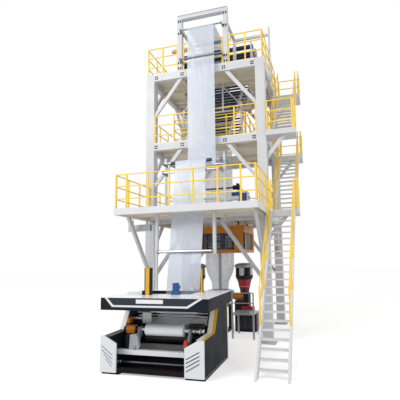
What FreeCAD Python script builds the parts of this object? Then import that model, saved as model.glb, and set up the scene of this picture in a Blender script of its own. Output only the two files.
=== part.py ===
import FreeCAD
import Part
import math
import os

V = FreeCAD.Vector
os.makedirs("parts", exist_ok=True)

# Blown film extrusion machine: steel tower with three decks, stairs and a winder in front.
# All sizes in millimetres. Origin on the floor under the die, +Z up, the winder towards -Y.

# Clearances
FREE = 0.3
SEAM = 4.0

# Tower
TOWER_W = 4690.0
TOWER_D = 3900.0
COLUMN = 330.0
LEVEL_1 = 4450.0
LEVEL_2 = 7290.0
LEVEL_3 = 10110.0
DECK_T = 40.0
BEAM_H = 260.0
BEAM_T = 180.0
JOIST_H = 160.0
JOIST_T = 80.0
SHAFT_HALF = 780.0
TOP_SHAFT_X = 1400.0
TOP_SHAFT_Y = 430.0

# Column feet
FOOT_W = 560.0
FOOT_T = 30.0
ANCHOR_R = 17.5
ANCHOR_HALF = 225.0
RIB_H = 130.0
RIB_T = 16.0

# Knee braces
BRACE_W = 130.0
BRACE_T = 90.0
KNEE_RUN = 1180.0
KNEE_DROP = 1290.0
LOW_KNEE_RUN = 1480.0
LOW_KNEE_DROP = 1860.0
SIDE_KNEE = 1000.0
KNEE_IN = 20.0
APRON_KNEE_RUN = 1640.0
APRON_KNEE_DROP = 1880.0
LANDING_KNEE_RUN = 700.0
LANDING_KNEE_DROP = 640.0

# Front platform on level 1
APRON_Y = -4306.0
APRON_LEFT = -2212.0
APRON_RIGHT = 2411.0
FASCIA_T = 14.0
FASCIA_H = 205.0
APRON_BEAM_T = 100.0
APRON_TIE_T = 60.0
TIE_LIFT = 20.0
SLOT_HALF_X = 700.0
SLOT_FRONT = -3640.0
SLOT_BACK = -3290.0

# Railings
RAIL_H = 1100.0
RAIL_MID = 700.0
RAIL_LOW = 300.0
POST_W = 46.0
RAIL_W = 32.0
POST_PITCH = 760.0
APRON_POSTS = [-1783.0, -1036.0, -316.0, 457.0, 1217.0, 1917.0]
INNER_RAIL_X = 1476.0
INNER_RAIL_Y = 1300.0

# Stairs
STAIR_X = 2426.0
STAIR_W = 830.0
STRINGER_T = 60.0
STRINGER_D = 210.0
TREAD_T = 36.0
TREAD_D = 175.0
STAIR_FOOT_Y = -5575.0
LANDING_BACK_Y = -1200.0
UPPER_TOP_Y = 1500.0
RISERS_LOW = 22
RISERS_UP = 14
HANDRAIL_H = 980.0
HANDRAIL_START = 5
STRINGER_UP = 90.0
STAIR_LEAD = 60.0
TREAD_NOSE = 30.0
LANDING_H = 180.0
LANDING_D = 900.0
LANDING_OVER = 120.0

# Film
WEB_W = 1070.0
WEB_T = 4.0
BUBBLE_R = 585.0
BUBBLE_FOOT_R = 330.0
BUBBLE_T = 5.0
FREEZE_Z = 2550.0

# Die
DIE_R = 360.0
DIE_H = 430.0
DIE_Z = 1000.0
AIR_RING_R = 560.0
AIR_RING_H = 150.0

# Winder
HOOD_LEFT = -1490.0
HOOD_RIGHT = 1446.0
HOOD_FRONT = -5920.0
HOOD_BACK = -3811.0
HOOD_LOW = 1575.0
HOOD_TOP = 1885.0
CHEEKS = [(-1446.0, -1206.0), (1080.0, 1320.0)]
CHEEK_SILL = 915.0
CHEEK_STEP_Y = -5067.0
CHEEK_RISE_Y = -4700.0
HOOD_OPEN_LEFT = -1000.0
HOOD_OPEN_RIGHT = 620.0
HOOD_OPEN_FRONT = -4940.0
HOOD_OPEN_BACK = -3960.0
COVER_T = 40.0
LEFT_COVER = [(-1475.0, 937.0), (-1380.0, 941.0), (-1034.0, 761.0), (-1019.0, 755.0)]
RIGHT_COVER = [(820.0, 728.0), (1152.0, 911.0), (1317.0, 918.0)]
PLINTH_H = 50.0
PLINTH_REACH = 250.0
REAR_WALL_T = 40.0
BEAM_Z = 410.0
ROLL_R = 150.0
ROLL_L = 1080.0
ROLL_Y = -5200.0
ROLL_Z = 985.0
CORE_R = 38.0
CARRIER_X = 690.0
CARRIER_T = 60.0
DRUM_R = 140.0
DRUM_L = 1300.0
DRUM_OFF = 212.0
DRUM_JOURNAL_R = 30.0
BEARING_T = 70.0
BEARING_W = 170.0
ENTRY_Y = -4130.0
ENTRY_Z = 1440.0
ENTRY_R = 45.0
IDLERS = [(ENTRY_Y, ENTRY_Z, ENTRY_R), (-4600.0, 1250.0, 35.0), (-4640.0, 1345.0, 24.0), (-5600.0, 235.0, 25.0)]


def block(x0, x1, y0, y1, z0, z1):
    """A box between two corners."""
    return Part.makeBox(x1 - x0, y1 - y0, z1 - z0, V(x0, y0, z0))


def slab_x(points, x0, x1):
    """A plate with a (y, z) outline, from x0 to x1."""
    wire = Part.makePolygon([V(x0, y, z) for y, z in points + points[:1]])
    return Part.Face(wire).extrude(V(x1 - x0, 0, 0))


def slab_y(points, y0, y1):
    """A plate with an (x, z) outline, from y0 to y1."""
    wire = Part.makePolygon([V(x, y0, z) for x, z in points + points[:1]])
    return Part.Face(wire).extrude(V(0, y1 - y0, 0))


def rod(p, q, r):
    """A round bar from p to q."""
    d = q - p
    return Part.makeCylinder(r, d.Length, p, d)


def bar(p, q, wide, deep):
    """A rectangular bar from p to q; wide is level, deep is square to it."""
    d = q - p
    length = d.Length
    d.normalize()
    side = d.cross(V(0, 0, 1))
    if side.Length < 0.001:
        side = V(1, 0, 0)
    side.normalize()
    up = side.cross(d)
    a = p + side * (-wide / 2) + up * (-deep / 2)
    corners = [a, a + side * wide, a + side * wide + up * deep, a + up * deep, a]
    return Part.Face(Part.makePolygon(corners)).extrude(d * length)


def turned(points, x=0.0, y=0.0):
    """A body of revolution about a vertical axis from a closed (radius, z) outline."""
    wire = Part.makePolygon([V(x + r, y, z) for r, z in points + points[:1]])
    return Part.Face(wire).revolve(V(x, y, 0), V(0, 0, 1), 360)


def tube(outer, inner, z0, z1, x=0.0, y=0.0):
    """A round ring standing on z0."""
    return turned([(inner, z0), (outer, z0), (outer, z1), (inner, z1)], x, y)


def joined(solids):
    """One solid from pieces that overlap or touch."""
    if len(solids) == 1:
        return solids[0]
    return solids[0].multiFuse(solids[1:]).removeSplitter().Solids[0]


def save(node, solids):
    """Writes the solids of one node."""
    Part.makeCompound(solids).exportStep("parts/" + node + ".step")


# Places that follow from the sizes
HALF_W = TOWER_W / 2
HALF_D = TOWER_D / 2
COL_X = HALF_W - COLUMN / 2
COL_Y = HALF_D - COLUMN / 2
IN_X = HALF_W - COLUMN
IN_Y = HALF_D - COLUMN
LEVELS = [LEVEL_1, LEVEL_2, LEVEL_3]
CORNERS = [(sx, sy) for sx in (-1, 1) for sy in (-1, 1)]


def column_foot(x, y):
    """Base plate with four anchor holes and ribs round the column."""
    half = FOOT_W / 2
    plate = block(x - half, x + half, y - half, y + half, 0, FOOT_T)
    ribs = []
    for s in (-1, 1):
        inner = COLUMN / 2 + FREE
        outline = [(s * inner, FOOT_T), (s * (half - 10), FOOT_T), (s * inner, FOOT_T + RIB_H)]
        rib = slab_y([(x + a, z) for a, z in outline], y - RIB_T / 2, y + RIB_T / 2)
        ribs.append(rib)
        rib = slab_x([(y + a, z) for a, z in outline], x - RIB_T / 2, x + RIB_T / 2)
        ribs.append(rib)
    foot = joined([plate] + ribs)
    for sx, sy in CORNERS:
        at = V(x + sx * ANCHOR_HALF, y + sy * ANCHOR_HALF, -1)
        foot = foot.cut(Part.makeCylinder(ANCHOR_R, FOOT_T + 2, at))
    return foot


def make_columns():
    """Four feet and four box columns."""
    feet = [column_foot(sx * COL_X, sy * COL_Y) for sx, sy in CORNERS]
    save("column_feet", feet)
    shafts = []
    for sx, sy in CORNERS:
        x = sx * COL_X
        y = sy * COL_Y
        half = COLUMN / 2
        shafts.append(block(x - half, x + half, y - half, y + half, FOOT_T, LEVEL_3))
    save("tower_columns", shafts)


def level_beams(top):
    """Front, rear and side beams of one level, between the columns."""
    z1 = top - DECK_T
    z0 = z1 - BEAM_H
    beams = []
    for s in (-1, 1):
        y0 = s * HALF_D - (BEAM_T if s > 0 else 0)
        beams.append(block(-IN_X, IN_X, y0, y0 + BEAM_T, z0, z1))
        x0 = s * HALF_W - (BEAM_T if s > 0 else 0)
        beams.append(block(x0, x0 + BEAM_T, -IN_Y, IN_Y, z0, z1))
    return beams


def shaft_size(top):
    """Half width and half depth of the film shaft through one level."""
    if top == LEVEL_3:
        return TOP_SHAFT_X, TOP_SHAFT_Y
    return SHAFT_HALF, SHAFT_HALF


def level_joists(top):
    """Cross joists and the trimmers round the film shaft."""
    z1 = top - DECK_T
    z0 = z1 - JOIST_H
    edge = HALF_W - BEAM_T
    half_x, half_y = shaft_size(top)
    joists = []
    for s in (-1, 1):
        for near in sorted({SHAFT_HALF, half_y}):
            y = s * (near + JOIST_T / 2)
            joists.append(block(-edge, edge, y - JOIST_T / 2, y + JOIST_T / 2, z0, z1))
        x = s * (half_x + JOIST_T / 2)
        inner = half_y - FREE
        joists.append(block(x - JOIST_T / 2, x + JOIST_T / 2, -inner, inner, z0, z1))
        y0 = s * (SHAFT_HALF + JOIST_T + FREE)
        y1 = s * (HALF_D - BEAM_T)
        for x in (-IN_X / 2, IN_X / 2):
            span = sorted([y0, y1])
            joists.append(block(x - JOIST_T / 2, x + JOIST_T / 2, span[0], span[1], z0, z1))
    return joists


def deck_plates(top):
    """Floor plates round the film shaft, with narrow seams."""
    z0 = top - DECK_T
    half_x, half_y = shaft_size(top)
    g = SEAM / 2
    plates = [
        block(-HALF_W, -half_x, -half_y, half_y, z0, top),
        block(half_x, HALF_W, -half_y, half_y, z0, top),
    ]
    for s in (-1, 1):
        near, far = sorted([s * (half_y + g), s * (IN_Y - g)])
        plates.append(block(-HALF_W, HALF_W, near, far, z0, top))
        near, far = sorted([s * (IN_Y + g), s * HALF_D])
        plates.append(block(-IN_X + g, IN_X - g, near, far, z0, top))
    return plates


def make_levels():
    """Beams, joists and floors of the three levels."""
    save("main_beams", [b for top in LEVELS for b in level_beams(top)])
    save("floor_joists", [j for top in LEVELS for j in level_joists(top)])
    save("floor_plates", [f for top in LEVELS for f in deck_plates(top)])


def make_apron():
    """Front platform of level 1: its frame, fascia and floor with the film slot."""
    z1 = LEVEL_1 - DECK_T
    z0 = z1 - JOIST_H
    lines = [APRON_LEFT + FASCIA_T + APRON_BEAM_T / 2, -SLOT_HALF_X - 100, SLOT_HALF_X + 100, COL_X]
    h = APRON_BEAM_T / 2
    frame = []
    for x in lines:
        frame.append(block(x - h, x + h, APRON_Y + FASCIA_T, -HALF_D, z0, z1))
    for x0, x1 in zip(lines, lines[1:]):
        for y in (APRON_Y + 200, HANGER_Y, SLOT_BACK + 60, -HALF_D - 200):
            t = APRON_TIE_T / 2
            frame.append(block(x0 + h + FREE, x1 - h - FREE, y - t, y + t, z0 + TIE_LIFT, z1))
    save("apron_frame", frame)
    low = LEVEL_1 - FASCIA_H
    fascia = block(APRON_LEFT, APRON_RIGHT, APRON_Y, APRON_Y + FASCIA_T, low, LEVEL_1)
    sides = []
    for x in (APRON_LEFT, APRON_RIGHT - FASCIA_T):
        y0 = APRON_Y + FASCIA_T + FREE
        sides.append(block(x, x + FASCIA_T, y0, -HALF_D, low, LEVEL_1))
    save("apron_fascia", [fascia] + sides)
    x0 = APRON_LEFT + FASCIA_T
    x1 = APRON_RIGHT - FASCIA_T
    y0 = APRON_Y + FASCIA_T
    y1 = -HALF_D - SEAM
    g = SEAM / 2
    s = SLOT_HALF_X
    floor = [
        block(x0, x1, y0, SLOT_FRONT - g, z1, LEVEL_1),
        block(x0, x1, SLOT_BACK + g, y1, z1, LEVEL_1),
        block(x0, -s, SLOT_FRONT + g, SLOT_BACK - g, z1, LEVEL_1),
        block(s, x1, SLOT_FRONT + g, SLOT_BACK - g, z1, LEVEL_1),
    ]
    save("apron_floor", floor)


def knee(p, q, axis):
    """A brace whose two ends are cut upright at p (column) and level at q (beam)."""
    dx = q[0] - p[0]
    dz = q[1] - p[1]
    length = math.hypot(dx, dz)
    up = BRACE_W * length / abs(dx)
    along = BRACE_W * length / abs(dz)
    s = 1 if dx > 0 else -1
    pts = [(p[0], p[1] - up), (p[0], p[1]), (q[0] - s * along, q[1]), (q[0], q[1])]
    if axis[0] == "y":
        return slab_y(pts, axis[1] - BRACE_T / 2, axis[1] + BRACE_T / 2)
    return slab_x(pts, axis[1] - BRACE_T / 2, axis[1] + BRACE_T / 2)


def make_knees():
    """Knee braces in the front, rear and side planes, and those of the front platform."""
    braces = []
    for n, top in enumerate(LEVELS, 1):
        z = top - DECK_T - BEAM_H
        run = LOW_KNEE_RUN if n == 1 else KNEE_RUN
        drop = LOW_KNEE_DROP if n == 1 else KNEE_DROP
        for sx, sy in CORNERS:
            y = sy * (HALF_D - BEAM_T / 2 - KNEE_IN)
            braces.append(knee((sx * IN_X, z - drop), (sx * (IN_X - run), z), ("y", y)))
            x = sx * (HALF_W - BEAM_T / 2 - KNEE_IN)
            reach = IN_Y - SIDE_KNEE
            braces.append(knee((sy * IN_Y, z - SIDE_KNEE), (sy * reach, z), ("x", x)))
    z = LEVEL_1 - DECK_T - JOIST_H
    for x in (APRON_LEFT + FASCIA_T + APRON_BEAM_T / 2, COL_X):
        foot = (-HALF_D, z - APRON_KNEE_DROP)
        braces.append(knee(foot, (-HALF_D - APRON_KNEE_RUN, z), ("x", x)))
    for y, top in ((-COL_Y, LEVEL_1), (-COL_Y, LEVEL_2), (COL_Y, LEVEL_2), (COL_Y, LEVEL_3)):
        z = top - LANDING_H
        foot = (HALF_W, z - LANDING_KNEE_DROP)
        braces.append(knee(foot, (HALF_W + LANDING_KNEE_RUN, z), ("y", y)))
    save("knee_braces", braces)


def guard(p, q, z, height=RAIL_H, rails=(RAIL_LOW, RAIL_MID), spots=None):
    """A straight guard rail from p to q, both (x, y), standing on z; spots are post places."""
    dx = q[0] - p[0]
    dy = q[1] - p[1]
    length = math.hypot(dx, dy)
    bays = max(1, round(length / POST_PITCH))
    inset = POST_W / 2
    ux = dx / length
    uy = dy / length
    pieces = []
    if spots is None:
        spots = [inset + (length - POST_W) * n / bays for n in range(bays + 1)]
    for t in spots:
        x = p[0] + ux * t
        y = p[1] + uy * t
        h = POST_W / 2
        pieces.append(block(x - h, x + h, y - h, y + h, z, z + height - RAIL_W / 2))
    for level in list(rails) + [height - RAIL_W / 2]:
        a = V(p[0], p[1], z + level)
        b = V(q[0], q[1], z + level)
        pieces.append(bar(a, b, RAIL_W, RAIL_W))
    return joined(pieces)


def make_guards():
    """Yellow guard rails of the levels and the front platform."""
    e = POST_W / 2 + 10
    gap = POST_W / 2 + SEAM
    y0 = APRON_Y + e
    x0 = APRON_LEFT + e
    x1 = APRON_RIGHT - e
    back = -HALF_D - SEAM
    h = POST_W / 2
    spots = [h] + [x - x0 for x in APRON_POSTS] + [x1 - x0 - h]
    save("apron_guard_rail", [
        guard((x0, y0), (x1, y0), LEVEL_1, spots=spots),
        guard((x0, y0 + gap), (x0, back), LEVEL_1),
        guard((x1, y0 + gap), (x1, back), LEVEL_1),
    ])
    left = -HALF_W + e
    right = HALF_W - e
    front = -HALF_D + e
    rear = HALF_D - e
    half = COLUMN / 2 + SEAM
    rails = []
    xin = COL_X - half
    yin = COL_Y - half
    for top in (LEVEL_1, LEVEL_2):
        rails.append(guard((-xin, rear), (xin, rear), top))
        rails.append(guard((left, -yin), (left, yin), top))
        rails.append(guard((right, LANDING_BACK_Y + 100), (right, UPPER_TOP_Y - 100), top))
    rails.append(guard((-xin, front), (xin, front), LEVEL_2))
    x = INNER_RAIL_X
    y = INNER_RAIL_Y
    for s in (-1, 1):
        rails.append(guard((-x, s * y), (x, s * y), LEVEL_2))
        rails.append(guard((s * x, -y + gap), (s * x, y - gap), LEVEL_2))
    past = GANTRY_X + GANTRY_POST / 2 + SEAM
    between = GANTRY_X - GANTRY_POST / 2 - ARM_T - SEAM
    rails += [
        guard((-between, front), (between, front), LEVEL_3),
        guard((left, front), (-past, front), LEVEL_3),
        guard((past, front), (right, front), LEVEL_3),
        guard((left, front + gap), (left, rear - gap), LEVEL_3),
        guard((right, front + gap), (right, UPPER_TOP_Y - 100), LEVEL_3),
        guard((left, rear), (right, rear), LEVEL_3),
    ]
    save("deck_guard_rails", rails + landing_guards())


# Film gantry on the top level
GANTRY_X = 925.0
GANTRY_POST = 180.0
GANTRY_TOP = 12380.0
GANTRY_BEAM_H = 180.0
GANTRY_Y = -1880.0
GANTRY_BACK_Y = -470.0
BACK_POST = 120.0
BACK_RAIL = 100.0
BACK_DROP = 270.0
HOIST_POST = 74.0
HOIST_LOW = 9850.0
HOIST_TOP = 12200.0
GUIDE_Y = -2130.0
GUIDE_R = 26.0
TOP_GUIDE_Z = 11620.0
LOW_GUIDE_Z = 10400.0
JOURNAL_R = 16.0
ARM_T = 24.0


def make_gantry():
    """Portal that lifts the film over the front edge of the top level."""
    h = GANTRY_POST / 2
    frame = []
    under = GANTRY_TOP - GANTRY_BEAM_H
    for s in (-1, 1):
        x = s * GANTRY_X
        frame.append(block(x - h, x + h, GANTRY_Y - h, GANTRY_Y + h, LEVEL_3, under - FREE))
        b = BACK_POST / 2
        y = GANTRY_BACK_Y
        frame.append(block(x - b, x + b, y - b, y + b, LEVEL_3, under - BACK_DROP - BACK_RAIL - FREE))
        r = BACK_RAIL / 2
        z = under - BACK_DROP
        frame.append(block(x - r, x + r, GANTRY_Y + h + FREE, y + b, z - BACK_RAIL, z))
    x = GANTRY_X + h
    frame.append(block(-x, x, GANTRY_Y - h, GANTRY_Y + h, under, GANTRY_TOP))
    y0 = GANTRY_BACK_Y - HOIST_POST / 2
    y1 = GANTRY_BACK_Y + HOIST_POST / 2
    z = under - BACK_DROP
    x0 = GANTRY_X + BACK_RAIL / 2 + FREE
    frame.append(block(x0, HALF_W - FREE, y0, y1, z - BACK_RAIL, z))
    frame.append(block(HALF_W, HALF_W + HOIST_POST, y0, y1, HOIST_LOW, HOIST_TOP))
    save("gantry_frame", frame)


def roller(y, z, r, length, journal_r, journal_l, shift=0.0):
    """A roller along x with journals and chamfered ends; shift moves the journals' outer ends."""
    c = min(8.0, r * 0.2)
    half = length / 2
    out = half + journal_l
    pts = [(shift - out, 0), (shift - out, journal_r), (-half, journal_r), (-half, r - c),
           (-half + c, r), (half - c, r), (half, r - c), (half, journal_r),
           (shift + out, journal_r), (shift + out, 0)]
    wire = Part.makePolygon([V(x, y, z + a) for x, a in pts + pts[:1]])
    return Part.Face(wire).revolve(V(0, y, z), V(1, 0, 0), 360)


def roller_arms(y, z, x_face, back_y, deep, tall=None):
    """A pair of plates with a bore for a roller's journals, reaching back to back_y."""
    arms = []
    tall = tall or deep
    for s in (-1, 1):
        x0 = s * x_face
        x1 = s * (x_face + ARM_T)
        lo, hi = sorted([x0, x1])
        ya, yb = sorted([y - math.copysign(deep / 2, back_y - y), back_y])
        plate = block(lo, hi, ya, yb, z - tall / 2, z + tall / 2)
        hole = Part.makeCylinder(JOURNAL_R + FREE, ARM_T + 2, V(lo - 1, y, z), V(1, 0, 0))
        arms.append(plate.cut(hole))
    return arms


# Guide rollers of the flattened film
GUIDE_L = 1530.0
MID_GUIDE_Y = -3220.0
MID_GUIDE_Z = 6060.0
MID_GUIDE_R = 60.0
MID_NIP_Z = 5745.0
MID_NIP_R = 38.0
TURN_R = 45.0
END_AIR = 6.0
ARM_DEEP = 110.0
STAND_X = 1060.0
STAND_Y = -2900.0
STAND_POST = 70.0
LOW_ROLLER_Y = -3820.0
LOW_ROLLER_Z = 3065.0
LOW_ROLLER_R = 45.0
HANGER_X = 955.0
HANGER_Y = -3790.0
HANGER_THIN = 64.0
HANGER_POST = 90.0


def make_guides():
    """Guide rollers of the flattened film and what carries them."""
    arms = []
    inner = GANTRY_X - GANTRY_POST / 2 - ARM_T
    back = GANTRY_Y + GANTRY_POST / 2
    width = 2 * inner - 2 * END_AIR
    low_y = FRONT_RUN_Y - GUIDE_R - FILM_OFF
    for name, y, z in (("gantry_top_roller", GUIDE_Y, TOP_GUIDE_Z), ("gantry_low_roller", low_y, LOW_GUIDE_Z)):
        save(name, [roller(y, z, GUIDE_R, width, JOURNAL_R, END_AIR + ARM_T)])
        arms += roller_arms(y, z, inner, back, ARM_DEEP)

    half = STAND_POST / 2
    inner = STAND_X - half - ARM_T
    width = 2 * inner - 2 * END_AIR
    stand = []
    for s in (-1, 1):
        x = s * STAND_X
        stand.append(block(x - half, x + half, STAND_Y - half, STAND_Y + half,
                           LEVEL_1, MID_GUIDE_Z + 260))
    tie = LEVEL_1 + 330
    x = STAND_X - half - FREE
    stand.append(block(-x, x, STAND_Y - 25, STAND_Y + 25, tie, tie + 60))
    save("guide_stand", stand)
    back = STAND_Y + half
    arms += roller_arms(MID_GUIDE_Y, MID_GUIDE_Z, inner, back, ARM_DEEP)
    arms += roller_arms(MID_GUIDE_Y, MID_NIP_Z, inner, back, ARM_DEEP)
    arms += roller_arms(TURN_Y, TURN_Z, inner, STAND_Y - half, ARM_DEEP, 60)
    end = END_AIR + ARM_T
    save("upper_guide_roller", [roller(MID_GUIDE_Y, MID_GUIDE_Z, MID_GUIDE_R, width, JOURNAL_R, end)])
    save("tension_roller", [roller(MID_GUIDE_Y, MID_NIP_Z, MID_NIP_R, width, JOURNAL_R, end)])
    save("turning_roller", [roller(TURN_Y, TURN_Z, TURN_R, width, JOURNAL_R, end)])

    half = HANGER_POST / 2
    top = LEVEL_1 - DECK_T - JOIST_H + TIE_LIFT
    hangers = []
    for s in (-1, 1):
        x = s * HANGER_X
        low = LOW_ROLLER_Z - 90
        hangers.append(block(x - half, x + half, HANGER_Y - half, HANGER_Y + half, low, top))
        if s < 0:
            t = HANGER_THIN / 2
            y0 = HANGER_Y - half
            hangers.append(block(x - t, x + t, y0, y0 + HANGER_THIN, HOOD_TOP, low - FREE))
    save("roller_hangers", hangers)
    inner = HANGER_X - half - ARM_T
    arms += roller_arms(LOW_ROLLER_Y, LOW_ROLLER_Z, inner, HANGER_Y + half, ARM_DEEP)
    width = 2 * inner - 2 * END_AIR
    save("lower_guide_roller", [roller(LOW_ROLLER_Y, LOW_ROLLER_Z, LOW_ROLLER_R, width, JOURNAL_R, end)])
    save("roller_arms", arms)


# Film path, taken from the rollers it runs on
FILM_OFF = WEB_T / 2 + FREE
FRONT_RUN_Y = GUIDE_Y - GUIDE_R - FILM_OFF
LEVEL_RUN_Z = MID_GUIDE_Z + MID_GUIDE_R + FILM_OFF
TURN_Y = FRONT_RUN_Y - TURN_R - FILM_OFF
TURN_Z = LEVEL_RUN_Z + TURN_R + FILM_OFF
WRAP_STEP = 30.0


def tangent(a, b):
    """Ends of the straight run from roller a to roller b, each (y, z, radius, side)."""
    dy = b[0] - a[0]
    dz = b[1] - a[1]
    k = b[3] * b[2] - a[3] * a[2]
    turn = math.atan2(dz, dy) + math.acos(k / math.hypot(dy, dz))
    ny = math.cos(turn)
    nz = math.sin(turn)
    p = (a[0] - a[3] * a[2] * ny, a[1] - a[3] * a[2] * nz)
    q = (b[0] - b[3] * b[2] * ny, b[1] - b[3] * b[2] * nz)
    return p, q


def wrap(roll, p, q):
    """Points of the film round a roller from p to q, outside the roller's circle."""
    y, z, r, side = roll
    a0 = math.atan2(p[1] - z, p[0] - y)
    a1 = math.atan2(q[1] - z, q[0] - y)
    while side * (a1 - a0) < 0:
        a1 += side * 2 * math.pi
    count = max(1, math.ceil(abs(a1 - a0) / math.radians(WRAP_STEP)))
    step = (a1 - a0) / count
    far = r / math.cos(step / 2)
    points = [p]
    for n in range(count):
        a = a0 + step * (n + 0.5)
        points.append((y + far * math.cos(a), z + far * math.sin(a)))
    return points + [q]


def film_pieces(points):
    """A sheet of film along straight runs of (y, z), mitred at the bends."""
    directions = []
    for a, b in zip(points, points[1:]):
        n = math.hypot(b[0] - a[0], b[1] - a[1])
        directions.append(((b[0] - a[0]) / n, (b[1] - a[1]) / n))
    sides = []
    for i in range(len(points)):
        d0 = directions[max(0, i - 1)]
        d1 = directions[min(i, len(directions) - 1)]
        m = (-d0[1] - d1[1], d0[0] + d1[0])
        k = WEB_T / (m[0] * m[0] + m[1] * m[1])
        sides.append((m[0] * k, m[1] * k))
    runs = []
    for i, d in enumerate(directions):
        a = (points[i][0] + d[0] * FREE / 2, points[i][1] + d[1] * FREE / 2)
        b = (points[i + 1][0] - d[0] * FREE / 2, points[i + 1][1] - d[1] * FREE / 2)
        oa = sides[i]
        ob = sides[i + 1]
        outline = [(a[0] + oa[0], a[1] + oa[1]), (b[0] + ob[0], b[1] + ob[1]),
                   (b[0] - ob[0], b[1] - ob[1]), (a[0] - oa[0], a[1] - oa[1])]
        runs.append(slab_x(outline, -WEB_W / 2, WEB_W / 2))
    return runs


def oval(half_x, half_y, z):
    """A level closed outline with many short sides."""
    points = []
    for n in range(OVAL_SIDES):
        a = 2 * math.pi * n / OVAL_SIDES
        points.append(V(half_x * math.cos(a), half_y * math.sin(a), z))
    return Part.makePolygon(points + points[:1])


def make_film():
    """Flattened film web and the blown bubble."""
    rolls = [
        (-NIP_R - FILM_OFF, NIP_Z, NIP_R + FILM_OFF, 1),
        (HAUL_GUIDE_Y, HAUL_GUIDE_Z, HAUL_GUIDE_R + FILM_OFF, 1),
        (GUIDE_Y, TOP_GUIDE_Z, GUIDE_R + FILM_OFF, 1),
        (TURN_Y, TURN_Z, TURN_R + FILM_OFF, -1),
        (MID_GUIDE_Y, MID_GUIDE_Z, MID_GUIDE_R + FILM_OFF, 1),
        (LOW_ROLLER_Y, LOW_ROLLER_Z, LOW_ROLLER_R + FILM_OFF, -1),
        (ENTRY_Y, ENTRY_Z, ENTRY_R + FILM_OFF, -1),
        (ROLL_Y + DRUM_OFF, ROLL_Z - DRUM_OFF, DRUM_R + FILM_OFF, 1),
    ]
    points = [(0.0, NIP_Z - NIP_DROP + FREE)]
    arrive = (0.0, NIP_Z)
    for a, b in zip(rolls, rolls[1:]):
        leave, landed = tangent(a, b)
        points += wrap(a, arrive, leave)
        arrive = landed
    points.append(arrive)
    save("film_web", film_pieces(points))
    t = BUBBLE_T
    r0 = BUBBLE_FOOT_R
    r1 = BUBBLE_R
    z0 = DIE_Z + DIE_H + AIR_RING_H
    outer = [(r0, z0), (r0 + 25, z0 + 300), (r1 - 60, FREEZE_Z - 300), (r1, FREEZE_Z), (r1, TENT_Z - FREE)]
    inner = [(r - t, z) for r, z in reversed(outer)]
    skins = []
    for grow in (0.0, -t):
        ends = [(r1 + grow, r1 + grow, TENT_Z), (WEB_W / 2 + grow, FOLD_HALF + grow, NIP_Z - NIP_DROP)]
        skins.append(Part.makeLoft([oval(*end) for end in ends], True, True))
    save("film_bubble", [turned(outer + inner), skins[0].cut(skins[1])])


# Collapsing frame between levels 2 and 3, with the haul-off on the top level
TENT_Z = 7960.0
TENT_LOW_Z = 7800.0
TENT_TOP_Z = 10600.0
TENT_LOW_X = 720.0
TENT_TOP_X = 1505.0
TENT_LOW_Y = 700.0
TENT_TOP_Y = 265.0
TENT_RAIL_W = 60.0
TENT_RAIL_D = 90.0
SLAT_R = 35.0
SLATS = 22
NIP_Z = 11445.0
NIP_R = 95.0
NIP_L = 3100.0
NIP_JOURNAL_R = 30.0
NIP_SIDE_AIR = 30.0
NIP_DROP = 60.0
FOLD_HALF = 12.0
OVAL_SIDES = 48
HAUL_GUIDE_Y = -300.0
HAUL_GUIDE_Z = 11600.0
HAUL_GUIDE_R = 90.0
SIDE_PLATE_T = 60.0
SIDE_PLATE_HALF = 420.0
SIDE_PLATE_TOP = 11750.0
TENT_LINK_T = 50.0
IDLER_Y = -1000.0
IDLER_R = 60.0
IDLER_L = 1240.0
IDLER_AIR = 0.5
IDLER_PLATE_T = 24.0
MOTOR_R = 75.0
MOTOR_OUT = 1905.0
MOTOR_IN = 1220.0
MOTOR_NECK_R = 40.0
CARRIER_Y = -800.0
CARRIER_POST_X = 1230.0
CARRIER_POST = 80.0
CARRIER_TOP = 8980.0
CARRIER_BAR_Z = 8700.0
CARRIER_BAR = 60.0
CARRIER_UP_X = 470.0
CARRIER_BRACE_HIGH = 9725.0
CARRIER_BRACE_LOW = 8940.0
CARRIER_MOTOR_R = 125.0
CARRIER_MOTOR_L = 372.0


def make_collapser():
    """Two slatted panels that fold the bubble flat, hung from the haul-off plates."""
    rails = []
    slats = []
    rise = TENT_TOP_Z - TENT_LOW_Z
    spread = (TENT_TOP_X - TENT_LOW_X) / rise
    face = NIP_L / 2 + NIP_SIDE_AIR
    for s in (-1, 1):
        for sx in (-1, 1):
            h = TENT_RAIL_W / 2
            a = V(sx * (TENT_LOW_X - h), s * TENT_LOW_Y, TENT_LOW_Z)
            b = V(sx * (TENT_TOP_X - h), s * TENT_TOP_Y, TENT_TOP_Z)
            x0, x1 = sorted([b.x, sx * face])
            t = TENT_LINK_T / 2
            link = block(x0, x1, b.y - t, b.y + t, TENT_TOP_Z - TENT_LINK_T, TENT_TOP_Z)
            rails.append(joined([bar(a, b, TENT_RAIL_W, TENT_RAIL_D), link]))
        for n in range(SLATS):
            k = (n + 0.5) / SLATS
            y = s * (TENT_LOW_Y + (TENT_TOP_Y - TENT_LOW_Y) * k)
            z = TENT_LOW_Z + rise * k
            half = TENT_LOW_X + spread * (z - SLAT_R - TENT_LOW_Z) - TENT_RAIL_W - SLAT_END
            slats.append(rod(V(-half, y, z), V(half, y, z), SLAT_R))
    save("collapsing_rails", rails)
    save("collapsing_slats", slats)


SLAT_END = 26.2


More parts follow.
